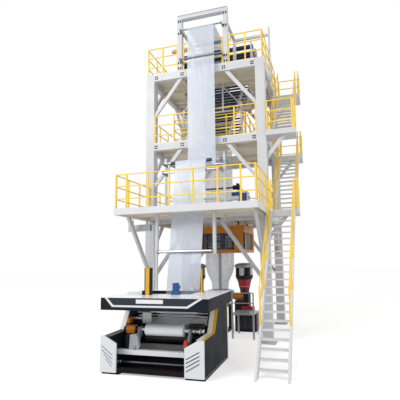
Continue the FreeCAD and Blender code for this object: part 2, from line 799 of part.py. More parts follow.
def make_carrier():
    """Frame on level 2 that steadies the collapsing panels, with its adjusting motor."""
    h = CARRIER_BAR / 2
    y0 = CARRIER_Y - h
    y1 = CARRIER_Y + h
    post = CARRIER_POST / 2
    bar_x = CARRIER_POST_X - post - FREE
    frame = [block(-bar_x, bar_x, y0, y1, CARRIER_BAR_Z - h, CARRIER_BAR_Z + h)]
    under = LEVEL_3 - DECK_T - JOIST_H
    for s in (-1, 1):
        x = s * CARRIER_POST_X
        frame.append(block(x - post, x + post, CARRIER_Y - post, CARRIER_Y + post, LEVEL_2, CARRIER_TOP))
        x = s * CARRIER_UP_X
        frame.append(block(x - h, x + h, y0, y1, CARRIER_BAR_Z + h + FREE, under))
        xa = s * (CARRIER_UP_X + h + FREE)
        xb = s * bar_x
        za = CARRIER_BRACE_HIGH
        zb = CARRIER_BRACE_LOW
        frame.append(slab_y([(xa, za - h), (xa, za + h), (xb, zb + h), (xb, zb - h)], y0, y1))
    save("collapser_carrier", frame)


def make_haul_off():
    """Side plates, nip rollers, guide rollers and motors of the haul-off."""
    face = NIP_L / 2 + NIP_SIDE_AIR
    gap = NIP_R + FILM_OFF
    end = NIP_SIDE_AIR + SIDE_PLATE_T
    nips = [roller(s * gap, NIP_Z, NIP_R, NIP_L, NIP_JOURNAL_R, end) for s in (-1, 1)]
    slope = (HAUL_GUIDE_Z + HAUL_GUIDE_R - TOP_GUIDE_Z - GUIDE_R) / (HAUL_GUIDE_Y - GUIDE_Y)
    line = HAUL_GUIDE_Z + HAUL_GUIDE_R + slope * (IDLER_Y - HAUL_GUIDE_Y)
    idler_z = line - IDLER_R - IDLER_AIR
    rail_in = GANTRY_X - BACK_RAIL / 2
    reach = rail_in + IDLER_PLATE_T - IDLER_L / 2
    guides = [
        roller(HAUL_GUIDE_Y, HAUL_GUIDE_Z, HAUL_GUIDE_R, NIP_L, NIP_JOURNAL_R, end),
        roller(IDLER_Y, idler_z, IDLER_R, IDLER_L, JOURNAL_R, reach),
    ]
    save("haul_off_rollers", nips + guides)
    bores = [(gap, NIP_Z), (-gap, NIP_Z), (HAUL_GUIDE_Y, HAUL_GUIDE_Z)]
    plates = []
    rail_z = GANTRY_TOP - GANTRY_BEAM_H - BACK_DROP - BACK_RAIL
    for s in (-1, 1):
        x0, x1 = sorted([s * face, s * (face + SIDE_PLATE_T)])
        plate = block(x0, x1, -SIDE_PLATE_HALF, SIDE_PLATE_HALF, LEVEL_3, SIDE_PLATE_TOP)
        for y, z in bores:
            bore = NIP_JOURNAL_R + FREE
            plate = plate.cut(Part.makeCylinder(bore, SIDE_PLATE_T + 2, V(x0 - 1, y, z), V(1, 0, 0)))
        plates.append(plate)
        x0, x1 = sorted([s * rail_in, s * (rail_in + IDLER_PLATE_T)])
        h = IDLER_R
        hung = block(x0, x1, IDLER_Y - h, IDLER_Y + h, idler_z - h, rail_z)
        bore = JOURNAL_R + FREE
        hung = hung.cut(Part.makeCylinder(bore, IDLER_PLATE_T + 2, V(x0 - 1, IDLER_Y, idler_z), V(1, 0, 0)))
        plates.append(hung)
    save("haul_off_plates", plates)
    z = rail_z + BACK_RAIL / 2
    y = GANTRY_BACK_Y
    x = GANTRY_X + BACK_RAIL / 2
    neck = rod(V(-MOTOR_IN, y, z), V(-x, y, z), MOTOR_NECK_R)
    body = rod(V(-MOTOR_OUT, y, z), V(-MOTOR_IN, y, z), MOTOR_R)
    x = CARRIER_POST_X + CARRIER_POST / 2
    z = CARRIER_BAR_Z
    cap = rod(V(x, CARRIER_Y, z), V(x + CARRIER_MOTOR_L, CARRIER_Y, z), CARRIER_MOTOR_R)
    save("haul_off_motors", [joined([neck, body]), cap])


# Bubble guide on level 1
GUIDE_BAR_Y = -700.0
GUIDE_BAR_Z = 5578.0
GUIDE_BAR_X0 = -332.0
GUIDE_BAR_X1 = 788.0
GUIDE_BAR_R = 32.0
GUIDE_MOTOR_R = 100.0
GUIDE_MOTOR_X1 = 1110.0
GUIDE_POST_X = 1000.0
GUIDE_POST = 80.0
GUIDE_CABINET = ((1116.0, 1416.0), (-1000.0, -560.0), 5362.0)
GUIDE_SPLIT = 5.0


def make_bubble_guide():
    """Guide bar beside the bubble on level 1, with its motor, post and cabinet."""
    y = GUIDE_BAR_Y
    z = GUIDE_BAR_Z
    bar_piece = rod(V(GUIDE_BAR_X0, y, z), V(GUIDE_BAR_X1 - FREE, y, z), GUIDE_BAR_R)
    motor = rod(V(GUIDE_BAR_X1, y, z), V(GUIDE_MOTOR_X1, y, z), GUIDE_MOTOR_R)
    h = GUIDE_POST / 2
    post = block(GUIDE_POST_X - h, GUIDE_POST_X + h, SHAFT_EDGE_Y - GUIDE_POST, SHAFT_EDGE_Y, LEVEL_1, z)
    (x0, x1), (y0, y1), top = GUIDE_CABINET
    save("bubble_guide", [bar_piece, joined([motor, post]), block(x0, x1, y0, y1, LEVEL_1, top)])


SHAFT_EDGE_Y = -660.0


# Sizing cage under level 1
CAGE_LOW = 3150.0
CAGE_HIGH = 3800.0
CAGE_SIDES = 12
CAGE_BARS = 5
CAGE_ROWS = 6
CAGE_BAR = 16.0
CAGE_R = BUBBLE_R + FREE + CAGE_BAR / 2
CAGE_BEAM = 110.0
CAGE_BEAM_W = 290.0
CAGE_BEAM_HIGH = 270.0
SCREW_X = 1000.0
CAGE_RING_W = 60.0
CAGE_RING_T = 14.0
CAGE_POST = 90.0
CAGE_FRAME = 900.0
CAGE_FRAME_X = 1250.0
CAGE_CORNER_W = 420.0
CAGE_CORNER_D = 240.0
SCREW_R = 28.0


def cage_panel(angle):
    """One flat lattice panel of the cage."""
    half = CAGE_R * math.tan(math.pi / CAGE_SIDES) - 12
    y = -CAGE_R
    b = CAGE_BAR / 2
    low = CAGE_LOW + CAGE_RING_T
    high = CAGE_HIGH - CAGE_RING_T
    pieces = []
    for n in range(CAGE_BARS):
        x = -half + b + (2 * half - 2 * b) * n / (CAGE_BARS - 1)
        pieces.append(block(x - b, x + b, y - b, y + b, low, high))
    for n in range(CAGE_ROWS):
        z = low + b + (high - low - 2 * b) * n / (CAGE_ROWS - 1)
        pieces.append(block(-half, half, y - b, y + b, z - b, z + b))
    panel = joined(pieces)
    panel.rotate(V(0, 0, 0), V(0, 0, 1), angle)
    return panel


def ring_frame(half_x, half_y, wide, z0, z1):
    """A square ring as four beams that meet with a hairline gap."""
    b = half_y - wide
    c = half_x - wide
    return [
        block(-half_x, half_x, -half_y, -b, z0, z1),
        block(-half_x, half_x, b, half_y, z0, z1),
        block(-half_x, -c, -b + FREE, b - FREE, z0, z1),
        block(c, half_x, -b + FREE, b - FREE, z0, z1),
    ]


def make_cage():
    """Orange sizing cage that holds the bubble, hung on four screws."""
    panels = [cage_panel(360.0 * n / CAGE_SIDES) for n in range(CAGE_SIDES)]
    r0 = BUBBLE_R + FREE
    r1 = r0 + CAGE_RING_W
    rings = [
        tube(r1, r0, CAGE_LOW + FREE, CAGE_LOW + CAGE_RING_T),
        tube(r1, r0, CAGE_HIGH - CAGE_RING_T, CAGE_HIGH - FREE),
    ]
    save("sizing_cage", panels)
    half_x = CAGE_FRAME_X
    half_y = CAGE_FRAME
    beams = ring_frame(half_x, half_y, CAGE_BEAM_W, CAGE_LOW - CAGE_BEAM, CAGE_LOW)
    beams += ring_frame(half_x, half_y, CAGE_BEAM_W, CAGE_HIGH, CAGE_HIGH + CAGE_BEAM_HIGH)
    screws = []
    top = LEVEL_1 - DECK_T - JOIST_H
    for sx, sy in CORNERS:
        xa, xb = sorted([sx * (half_x - CAGE_CORNER_W), sx * half_x])
        ya, yb = sorted([sy * (half_y - CAGE_CORNER_D), sy * half_y])
        beams.append(block(xa, xb, ya, yb, CAGE_LOW + FREE, CAGE_HIGH - FREE))
        x = sx * SCREW_X
        y = sy * (SHAFT_HALF + JOIST_T / 2)
        screws.append(rod(V(x, y, CAGE_HIGH + CAGE_BEAM_HIGH), V(x, y, top), SCREW_R))
    save("cage_frames", beams + rings)
    save("cage_screws", screws)


def make_die():
    """Rotary die on its stand, air ring and inner air pipe."""
    pieces = [block(-420, 420, -420, 420, 0, 40), block(-380, 380, -380, 380, DIE_Z - 60, DIE_Z)]
    for sx, sy in CORNERS:
        x = sx * 300
        y = sy * 300
        pieces.append(block(x - 50, x + 50, y - 50, y + 50, 40, DIE_Z - 60))
    save("die_stand", [joined(pieces)])
    z = DIE_Z + DIE_H
    die = [turned([(0, DIE_Z), (DIE_R, DIE_Z), (DIE_R, z - 40), (DIE_R - 40, z), (0, z)])]
    for s in (-1, 1):
        p = V(s * (DIE_R - 80), 0, BARREL_Z)
        die.append(rod(p, V(s * (DIE_R + STUB_L), 0, BARREL_Z), BARREL_R))
    save("die", [joined(die)])
    r = AIR_RING_R
    inner = BUBBLE_FOOT_R - 40
    save("air_ring", [turned([(inner, z), (r - 30, z), (r, z + 30), (r, z + AIR_RING_H - 40),
                              (r - 120, z + AIR_RING_H), (inner, z + AIR_RING_H)])])
    hub = BUBBLE_FOOT_R - 140
    save("bubble_air_pipe", [turned([(0, z), (hub, z), (hub, z + 60), (AIR_PIPE_R, z + 110),
                                     (AIR_PIPE_R, CAGE_HIGH - 700), (0, CAGE_HIGH - 700)])])


# Extruders
STUB_L = 60.0
AIR_PIPE_R = 60.0
BARREL_Z = 1315.0
BARREL_R = 105.0
GEAR_R = 140.0
GEAR_START = 600.0
GEAR_END = 1000.0
DRIVE_END = 1190.0
DRIVE_HALF = 230.0
DRIVE_TOP = 1160.0
BASE_START = 640.0
BASE_END = 1470.0
BASE_HALF = 230.0
BASE_H = 700.0
COUPLING_R = 170.0
MAIN_MOTOR_R = 113.0
MAIN_MOTOR_START = 960.0
MAIN_MOTOR_END = 1440.0
HOPPER_X = 1000.0
# Each pair is a radius and the height of its section, from the throat to the dome
HOPPER_STEPS = [(174.0, 1510.0), (212.0, 1707.0), (300.0, 2002.0)]
RING_R = 335.0
RING_TOP = 2125.0
MIXER_R = 345.0
MIXER_TOP = 2470.0
DOME_R = 383.0
DOME_TOP = 2630.0


def make_extruders():
    """Two extruders that feed the die, with their dosing hoppers."""
    bases = []
    barrels = []
    drives = []
    hoppers = []
    for s in (-1, 1):
        p = V(s * (DIE_R + STUB_L), 0, BARREL_Z)
        q = V(s * GEAR_START, 0, BARREL_Z)
        far = V(s * GEAR_END, 0, BARREL_Z)
        barrels.append(joined([rod(p, q, BARREL_R), rod(q, far, GEAR_R)]))
        x0, x1 = sorted([s * BASE_START, s * DRIVE_END])
        drives.append(block(x0, x1, -DRIVE_HALF, DRIVE_HALF, BASE_H, DRIVE_TOP))
        x0, x1 = sorted([s * GEAR_END, s * DRIVE_END])
        drives.append(block(x0, x1, -DRIVE_HALF, DRIVE_HALF, DRIVE_TOP + FREE, BARREL_Z + GEAR_R))
        x0, x1 = sorted([s * BASE_START, s * BASE_END])
        bases.append(block(x0, x1, -BASE_HALF, BASE_HALF, 0, BASE_H))
        z = BARREL_Z + GEAR_R
        outline = [(0, z), (HOPPER_STEPS[0][0], z)] + HOPPER_STEPS
        outline += [(RING_R, HOPPER_STEPS[-1][1]), (RING_R, RING_TOP), (0, RING_TOP)]
        hoppers.append(turned(outline, s * HOPPER_X))
        z = RING_TOP + FREE
        shoulder = MIXER_TOP + (DOME_TOP - MIXER_TOP) * 0.5
        dome = [(0, z), (MIXER_R, z), (MIXER_R, MIXER_TOP), (DOME_R, MIXER_TOP), (DOME_R, shoulder),
                (DOME_R * 0.75, DOME_TOP), (0, DOME_TOP)]
        hoppers.append(turned(dome, s * HOPPER_X))
    save("extruder_bases", bases)
    save("extruder_barrels", barrels)
    save("extruder_drives", drives)
    save("extruder_hoppers", hoppers)
    motors = []
    for s in (-1, 1):
        y = -DRIVE_HALF - MAIN_MOTOR_R
        a = V(s * MAIN_MOTOR_START, y, BASE_H + MOTOR_LIFT + MAIN_MOTOR_R)
        b = V(s * MAIN_MOTOR_END, y, BASE_H + MOTOR_LIFT + MAIN_MOTOR_R)
        motors.append(rod(a, b, MAIN_MOTOR_R))
    save("extruder_motors", motors)


MOTOR_LIFT = 60.0


# Service stand beside the right extruder
STAND_X0 = 820.0
STAND_X1 = 1640.0
STAND_Y0 = -1450.0
STAND_DECK = 860.0
STAND_DECK_T = 40.0
STAND_RAIL_H = 740.0
STAND_LEG = 60.0
STAND_CLEAR = 30.0


def make_service_stand():
    """Small grey platform with a rail beside the right extruder."""
    x0 = STAND_X0
    x1 = STAND_X1
    y0 = STAND_Y0
    y1 = -BASE_HALF - 2 * MAIN_MOTOR_R - STAND_CLEAR
    leg = STAND_LEG
    pieces = [block(x0, x1, y0, y1, STAND_DECK - STAND_DECK_T, STAND_DECK)]
    for x in (x0, x1 - leg):
        for y in (y0, y1 - leg):
            pieces.append(block(x, x + leg, y, y + leg, 0, STAND_DECK - STAND_DECK_T - FREE))
    h = POST_W / 2
    rail = guard((x0, y0 + h), (x1, y0 + h), STAND_DECK + FREE, STAND_RAIL_H, (STAND_RAIL_H / 2,))
    save("service_stand", pieces + [rail])


def make_stairs():
    """Three flights, their landings and hand rails."""
    x0 = STAIR_X
    x1 = STAIR_X + STAIR_W
    flights = [
        ("stair_1", STAIR_FOOT_Y, -HALF_D, 0.0, LEVEL_1, RISERS_LOW, HANDRAIL_START, 4),
        ("stair_2", LANDING_BACK_Y, UPPER_TOP_Y, LEVEL_1, LEVEL_2, RISERS_UP, 0, 3),
        ("stair_3", LANDING_BACK_Y, UPPER_TOP_Y, LEVEL_2, LEVEL_3, RISERS_UP, 0, 3),
    ]
    rails = []
    for name, ya, yb, za, zb, risers, first, bays in flights:
        rise = (zb - za) / risers
        going = (yb - ya) / risers
        slope = rise / going
        drop = STRINGER_D * math.hypot(1, slope)

        def edge(y):
            return za + (y - ya) * slope + STRINGER_UP

        toe = ya - STAIR_LEAD
        outline = [(toe, za), (toe, edge(toe)), (yb, edge(yb)), (yb, edge(yb) - drop),
                   (ya + (drop - STRINGER_UP) / slope, za)]
        pieces = []
        for a in (x0, x1 - STRINGER_T):
            pieces.append(slab_x(outline, a, a + STRINGER_T))
        inner = STRINGER_T + FREE
        for n in range(1, risers):
            z = za + rise * n
            y = ya + going * n - TREAD_NOSE
            pieces.append(block(x0 + inner, x1 - inner, y, y + TREAD_D, z - TREAD_T, z))
        save(name, pieces)
        start = ya + going * first + POST_W / 2
        end = yb - POST_W / 2
        h = POST_W / 2
        w = RAIL_W / 2
        for a in (x0 + STRINGER_T / 2, x1 - STRINGER_T / 2):
            bits = []
            for k in range(bays + 1):
                y = start + (end - start) * k / bays
                top = edge(y) + HANDRAIL_H - w
                post = [(y - h, edge(y - h)), (y + h, edge(y + h)), (y + h, top), (y - h, top)]
                bits.append(slab_x(post, a - h, a + h))
            for level in (HANDRAIL_H * 0.5, HANDRAIL_H - w):
                p = start - h
                q = end + h
                run = [(p, edge(p) + level - w), (q, edge(q) + level - w),
                       (q, edge(q) + level + w), (p, edge(p) + level + w)]
                bits.append(slab_x(run, a - w, a + w))
            rails.append(joined(bits))
    save("stair_hand_rails", rails)

    e = HALF_W + FREE
    xr = STAIR_X + STAIR_W + LANDING_OVER
    front = LANDING_BACK_Y - STAIR_LEAD - FREE
    back = UPPER_TOP_Y + LANDING_D
    h = LANDING_H
    landings = [
        block(e, xr, -HALF_D + FREE, front, LEVEL_1 - h, LEVEL_1),
        block(e, xr, -HALF_D - 70, front, LEVEL_2 - h, LEVEL_2),
        block(e, xr, UPPER_TOP_Y + FREE, back, LEVEL_2 - h, LEVEL_2),
        block(e, xr, UPPER_TOP_Y + FREE, back, LEVEL_3 - h, LEVEL_3),
    ]
    save("stair_landings", landings)


def landing_guards():
    """Guard rails of the stair landings."""
    e = HALF_W + FREE
    front = LANDING_BACK_Y - STAIR_LEAD - FREE
    back = UPPER_TOP_Y + LANDING_D
    k = POST_W / 2 + 10
    rim = STAIR_X + STAIR_W + LANDING_OVER - k
    y1 = front - 20
    inner = e + k
    lip = -HALF_D - 70 + k
    return [
        guard((rim, -HALF_D + 20), (rim, y1), LEVEL_1),
        guard((rim, lip), (rim, y1), LEVEL_2),
        guard((inner, lip), (rim - POST_W, lip), LEVEL_2),
        guard((rim, UPPER_TOP_Y + 60), (rim, back - k), LEVEL_2),
        guard((inner, back - k), (rim - POST_W, back - k), LEVEL_2),
        guard((rim, UPPER_TOP_Y + 60), (rim, back - k), LEVEL_3),
        guard((inner, back - k), (rim - POST_W, back - k), LEVEL_3),
    ]


# Drives inside the winder, each from and to along x, y and z
DRIVE_BOXES = [
    ((-1206.0, -1130.0), (-5080.0, -4900.0), (1100.0, 1258.0)),
    ((985.0, 1080.0), (-4690.0, -4510.0), (1016.0, 1198.0)),
]
CAP_R = 105.0

# What stands on the hood
HOOD_POST = ((-583.0, -433.0), (-5264.0, -5114.0), 2610.0)
HOOD_MOTOR = ((125.0, 345.0), (-5120.0, -4960.0), 2190.0)
HOOD_BAR = ((715.0, 770.0), (-4411.0, -4355.0), 2555.0)


def winder_cheek():
    """Outline points of one winder cheek in (y, z)."""
    front = HOOD_FRONT + COVER_T
    return [(front, PLINTH_H), (front, CHEEK_SILL), (CHEEK_STEP_Y, CHEEK_SILL + 10),
            (CHEEK_RISE_Y, HOOD_LOW), (HOOD_BACK, HOOD_LOW), (HOOD_BACK, PLINTH_H)]


def make_winder_body():
    """Cheeks, base, hood and front covers of the winder."""
    left, right = CHEEKS
    save("winder_cheeks", [slab_x(winder_cheek(), a, b) for a, b in CHEEKS])
    front = HOOD_FRONT + COVER_T
    base = [
        block(left[0], left[1] + PLINTH_REACH, front, HOOD_BACK, 0, PLINTH_H),
        block(right[0] - PLINTH_REACH, right[1], front, HOOD_BACK, 0, PLINTH_H),
        block(left[1], right[0], front, front + BASE_BEAM_W, PLINTH_H + FREE, PLINTH_H + BASE_BEAM_H),
        block(left[1], right[0], HOOD_BACK - REAR_WALL_T, HOOD_BACK, PLINTH_H + FREE, HOOD_LOW),
    ]
    save("winder_base", base)
    ix = HOOD_OPEN_LEFT
    jx = HOOD_OPEN_RIGHT
    fy = HOOD_OPEN_FRONT
    by = HOOD_OPEN_BACK
    hood = [
        block(HOOD_LEFT, HOOD_RIGHT, HOOD_FRONT, fy, HOOD_LOW, HOOD_TOP),
        block(HOOD_LEFT, HOOD_RIGHT, by, HOOD_BACK, HOOD_LOW, HOOD_TOP),
        block(HOOD_LEFT, ix, fy + FREE, by - FREE, HOOD_LOW, HOOD_TOP),
        block(jx, HOOD_RIGHT, fy + FREE, by - FREE, HOOD_LOW, HOOD_TOP),
    ]
    save("winder_hood", hood)
    covers = []
    for tops in (LEFT_COVER, RIGHT_COVER):
        pts = [(tops[0][0], PLINTH_H)] + tops + [(tops[-1][0], PLINTH_H)]
        covers.append(slab_y(pts, HOOD_FRONT, HOOD_FRONT + COVER_T - FREE))
    save("winder_covers", covers)
    items = []
    for (x0, x1), (y0, y1), top in (HOOD_POST, HOOD_MOTOR, HOOD_BAR):
        items.append(block(x0, x1, y0, y1, HOOD_TOP, top))
    save("hood_equipment", items)


BASE_BEAM_W = 100.0
BASE_BEAM_H = 110.0


def make_winder_works():
    """Beams, shafts, drum, roll and drives between the cheeks."""
    x0 = CHEEKS[0][1]
    x1 = CHEEKS[1][0]
    y = CROSS_BEAM_Y
    beams = [
        block(x0, x1, y, y + CROSS_BEAM, BEAM_Z, BEAM_Z + CROSS_BEAM),
        block(x0, x1, HOOD_BACK - 560, HOOD_BACK - 460, 200, 400),
        block(x0, x1, HOOD_BACK - 160, HOOD_BACK - REAR_WALL_T, 900, 1100),
    ]
    save("winder_cross_beams", beams)
    arms = []
    for s in (-1, 1):
        a, b = sorted([s * CARRIER_X, s * (CARRIER_X + CARRIER_T)])
        top = BEAM_Z + CROSS_BEAM
        pts = [(y, top), (y + CROSS_BEAM, top), (ROLL_Y + 90, ROLL_Z - 60), (ROLL_Y + 90, ROLL_Z + 70),
               (ROLL_Y - 90, ROLL_Z + 70), (ROLL_Y - 120, ROLL_Z - 60)]
        arm = slab_x(pts, a, b)
        bore = Part.makeCylinder(CORE_R + FREE, CARRIER_T + 2, V(a - 1, ROLL_Y, ROLL_Z), V(1, 0, 0))
        arms.append(arm.cut(bore))
    save("roll_carriers", arms)
    reach = CARRIER_X + CARRIER_T + 20 - ROLL_L / 2
    save("wound_roll", [roller(ROLL_Y, ROLL_Z, ROLL_R, ROLL_L, CORE_R, reach)])
    dy = ROLL_Y + DRUM_OFF
    dz = ROLL_Z - DRUM_OFF
    blocks = []
    for a, b in ((x0, x0 + BEARING_T), (x1 - BEARING_T, x1)):
        h = BEARING_W / 2
        piece = block(a, b, dy - h, dy + h, dz - h, dz + h)
        bore = Part.makeCylinder(DRUM_JOURNAL_R + FREE, BEARING_T + 2, V(a - 1, dy, dz), V(1, 0, 0))
        blocks.append(piece.cut(bore))
    save("drum_bearings", blocks)
    span = x1 - x0 - 20
    shift = (x0 + x1) / 2
    journal = (span - DRUM_L) / 2
    save("contact_drum", [roller(dy, dz, DRUM_R, DRUM_L, DRUM_JOURNAL_R, journal, shift)])
    save("winder_idlers", [rod(V(x0, y, z), V(x1, y, z), r) for y, z, r in IDLERS])
    drives = [block(*box[0], *box[1], *box[2]) for box in DRIVE_BOXES]
    cap_x = -CARRIER_X - CARRIER_T - 30
    cap = rod(V(x0, ROLL_Y, ROLL_Z), V(cap_x, ROLL_Y, ROLL_Z), CAP_R)
    save("winder_drives", drives + [cap])


CROSS_BEAM_Y = -5560.0
CROSS_BEAM = 120.0


make_columns()
make_levels()
make_apron()
make_knees()
make_guards()
make_gantry()
make_guides()
make_film()
make_collapser()
make_carrier()
make_haul_off()
make_bubble_guide()
make_cage()
make_die()
make_extruders()
make_service_stand()
make_stairs()
make_winder_body()
make_winder_works()
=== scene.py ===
"""Looks of a blown film extrusion machine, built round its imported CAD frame.

A steel tower with three decks lifts a film bubble from its die to a pair of nip rollers. The
flattened film comes back down the front of the tower into a winder. Everything is in metres.
"""
import logging
import math
from dataclasses import dataclass
from enum import Enum
from typing import Any, Iterable, Sequence

import bmesh
import bpy
from mathutils import Matrix, Vector


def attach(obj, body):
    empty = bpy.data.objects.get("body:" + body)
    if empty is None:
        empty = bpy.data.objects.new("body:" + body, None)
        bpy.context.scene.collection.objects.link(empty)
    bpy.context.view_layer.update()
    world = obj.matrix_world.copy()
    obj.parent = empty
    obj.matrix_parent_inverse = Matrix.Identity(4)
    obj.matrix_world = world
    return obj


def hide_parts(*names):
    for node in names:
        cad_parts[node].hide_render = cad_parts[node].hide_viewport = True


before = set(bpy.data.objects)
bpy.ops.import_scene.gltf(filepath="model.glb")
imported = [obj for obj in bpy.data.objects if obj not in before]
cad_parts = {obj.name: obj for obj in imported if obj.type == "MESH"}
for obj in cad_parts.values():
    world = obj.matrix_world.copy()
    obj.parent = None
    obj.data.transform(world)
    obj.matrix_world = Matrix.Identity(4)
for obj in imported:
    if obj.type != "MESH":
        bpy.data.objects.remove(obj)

log = logging.getLogger("film_line")
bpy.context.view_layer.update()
ROOT = "frame"
MM = 0.001
Point = tuple[float, float, float]
Flat = tuple[float, float]


# Colour and nodes


def linear(hex_colour: str, alpha: float = 1.0) -> tuple[float, float, float, float]:
    """Turns an sRGB hex value to linear colour.

    Args:
        hex_colour: six hex digits with a leading hash.
        alpha: opacity.

    Returns:
        Linear red, green, blue and alpha.
    """
    parts = [int(hex_colour[n:n + 2], 16) / 255 for n in (1, 3, 5)]
    red, green, blue = [c / 12.92 if c <= 0.04045 else ((c + 0.055) / 1.055) ** 2.4 for c in parts]
    return red, green, blue, alpha


def add_node(tree: bpy.types.NodeTree, kind: str, inputs: dict[Any, Any] | None = None,
             **settings: Any) -> bpy.types.Node:
    """Adds one node with its settings, values and links.

    Args:
        tree: the tree that takes the node.
        kind: the node's type name.
        inputs: socket name or number to a value, or to an output socket it is linked from.
        settings: the node's own properties.

    Returns:
        The new node.
    """
    made = tree.nodes.new(kind)
    for key, value in settings.items():
        setattr(made, key, value)
    for key, value in (inputs or {}).items():
        socket = made.inputs[key]
        if isinstance(value, bpy.types.NodeSocket):
            tree.links.new(value, socket)
        else:
            socket.default_value = value
    return made


@dataclass(frozen=True)
class Finish:
    """One finish of the machine as a procedural material.

    The colour drifts to shade over patches of patch_mm, the gloss drifts with it, and grain_mm with
    grain_depth_mm gives the skin its fine relief.
    """

    name: str
    colour: str
    shade: str
    roughness: float
    metallic: float = 0.0
    patch_mm: float = 600.0
    grain_mm: float = 6.0
    grain_depth_mm: float = 0.02
    stretch: Point = (1.0, 1.0, 1.0)
    alpha: float = 1.0
    coat: float = 0.0
    specular: float = 0.5

    def material(self) -> bpy.types.Material:
        """The Blender material, made once."""
        known = bpy.data.materials.get(self.name)
        if known:
            return known
        made = bpy.data.materials.new(self.name)
        made.use_nodes = True
        tree = made.node_tree
        tree.nodes.clear()
        place = add_node(tree, "ShaderNodeTexCoord")
        spread = add_node(tree, "ShaderNodeMapping", {
            "Vector": place.outputs["Object"], "Scale": self.stretch})
        patches = add_node(tree, "ShaderNodeTexNoise", {
            "Vector": spread.outputs["Vector"], "Scale": 1 / (self.patch_mm * MM), "Detail": 3.0,
            "Roughness": 0.55})
        tint = add_node(tree, "ShaderNodeMix", {
            "Factor": patches.outputs["Fac"], "A": linear(self.colour),
            "B": linear(self.shade)}, data_type="RGBA")
        tint_out = self._link_mix(tree, tint, patches)
        gloss = add_node(tree, "ShaderNodeMapRange", {
            "Value": patches.outputs["Fac"], "From Min": 0.3, "From Max": 0.7,
            "To Min": max(0.03, self.roughness - 0.06), "To Max": min(1.0, self.roughness + 0.06)})
        grain = add_node(tree, "ShaderNodeTexNoise", {
            "Vector": spread.outputs["Vector"], "Scale": 1 / (self.grain_mm * MM), "Detail": 2.0})
        relief = add_node(tree, "ShaderNodeBump", {
            "Height": grain.outputs["Fac"], "Strength": 0.5, "Distance": self.grain_depth_mm * MM})
        shader = add_node(tree, "ShaderNodeBsdfPrincipled", {
            "Base Color": tint_out, "Roughness": gloss.outputs["Result"], "Metallic": self.metallic,
            "Normal": relief.outputs["Normal"], "Coat Weight": self.coat, "Alpha": self.alpha,
            "Specular IOR Level": self.specular})
        add_node(tree, "ShaderNodeOutputMaterial", {"Surface": shader.outputs["BSDF"]})
        return made

    @staticmethod
    def _link_mix(tree: bpy.types.NodeTree, mix: bpy.types.Node,
                  factor: bpy.types.Node) -> bpy.types.NodeSocket:
        """Links a colour mix, whose sockets share names, and returns its colour output."""
        tree.links.new(factor.outputs["Fac"], mix.inputs[0])
        return mix.outputs[2]


# The coil-coated and powder-coated steel of the tower is matt to satin, so it takes soft broad light
TOWER_GREY = Finish("powder_coated_steel_light_grey", "#DADBDE", "#CDCED2", 0.42)
# Painted floor plate seen from below is a warmer, flatter grey
DECK_GREY = Finish("painted_floor_plate", "#F0EADD", "#E4DDCE", 0.55)
# Enamel on handrail tube: bright, with a soft highlight along the edges
RAIL_YELLOW = Finish("enamelled_tube_yellow", "#FFDB55", "#F9CF40", 0.38, patch_mm=900)
# Stairs are coated whiter than the tower, with the same satin skin
STAIR_WHITE = Finish("powder_coated_steel_white", "#E6E7E9", "#DADBDD", 0.45)
# Fine texture powder on the winder's sheets: dark, with hardly any mirror in it
CABINET_NAVY = Finish("textured_enamel_blue_black", "#1B232D", "#161D26", 0.45, grain_mm=3.0,
                      grain_depth_mm=0.05, specular=0.15)
# Smooth coated sheet, a shade brighter than the tower
CABINET_WHITE = Finish("powder_coated_sheet_white", "#E9ECEF", "#DEE2E6", 0.36)
# Frame paint on cast and welded bodies: nearly black, with a dull sheen
MACHINE_BLACK = Finish("blackened_frame_paint", "#1E1A1F", "#161317", 0.50, specular=0.3)
# Hammer enamel breaks the light into a fine ripple
MOTOR_ORANGE = Finish("hammer_enamel_orange", "#D9881A", "#C47612", 0.40, grain_mm=4.0, grain_depth_mm=0.08)
# Gloss enamel over red, so it keeps a clear highlight under its coat
SIGNAL_RED = Finish("gloss_enamel_red", "#B5202E", "#8F1624", 0.30, coat=0.3)
# Gloss enamel of electric motors
MOTOR_BLUE = Finish("gloss_enamel_blue", "#1A5596", "#134780", 0.32, coat=0.2)
# Satin enamel on the edge strips, warmer than the handrails
TRIM_GOLD = Finish("satin_enamel_gold_yellow", "#E9B52C", "#DDA61E", 0.36)
# Pale lattice of the basket; the arms and sheets inside the cage, and the rollers that lie in shade, read
# nearly black, partly their own dark colour and partly painted shade
BASKET_PALE = Finish("basket_lattice_grey_blue", "#A9B4C2", "#93A0B0", 0.30, metallic=0.5)
CAGE_SHADE_DARK = Finish("basket_arms_blue_black_and_painted_shade", "#2B333F", "#1F262F", 0.40, metallic=0.3)
# Roller colour that is partly the rollers' own dark navy and partly painted shade, where they lie in shade
ROLLER_DARK_SHADED = Finish("roller_dark_navy_and_painted_shade", "#2A303A", "#1D222A", 0.30, coat=0.2, stretch=(0.1, 1, 1))
LINE_STEEL = Finish("brushed_tube_grey", "#8A9098", "#767C85", 0.40, metallic=0.6, stretch=(0.1, 1, 1))
# Satin enamel of the strip beside the gold one
TRIM_CREAM = Finish("satin_enamel_cream", "#F6F2EA", "#EEE9DF", 0.40)
# Anodised tube drawn along its length, so its sheen runs with the axis
ROLLER_BLUE = Finish("anodised_aluminium_tube_blue", "#90A5D8", "#7C93CB", 0.28, metallic=0.35,
                     stretch=(0.1, 1, 1))
# Carbon filled tube: dark blue with a broad soft highlight
SLAT_NAVY = Finish("carbon_filled_roller_tube", "#22375F", "#182848", 0.30, metallic=0.25,
                   stretch=(0.1, 1, 1))
# Turned steel shows a brighter band where it faces the light
STEEL = Finish("machined_steel", "#B4B8BD", "#9EA3A9", 0.32, metallic=0.85, patch_mm=200, stretch=(0.2, 1, 1))
# Hard chrome mirrors the room, so it shows as a white line with dark borders
CHROME = Finish("hard_chromed_roller", "#D4D8DE", "#C2C7CE", 0.14, metallic=1.0, patch_mm=300)
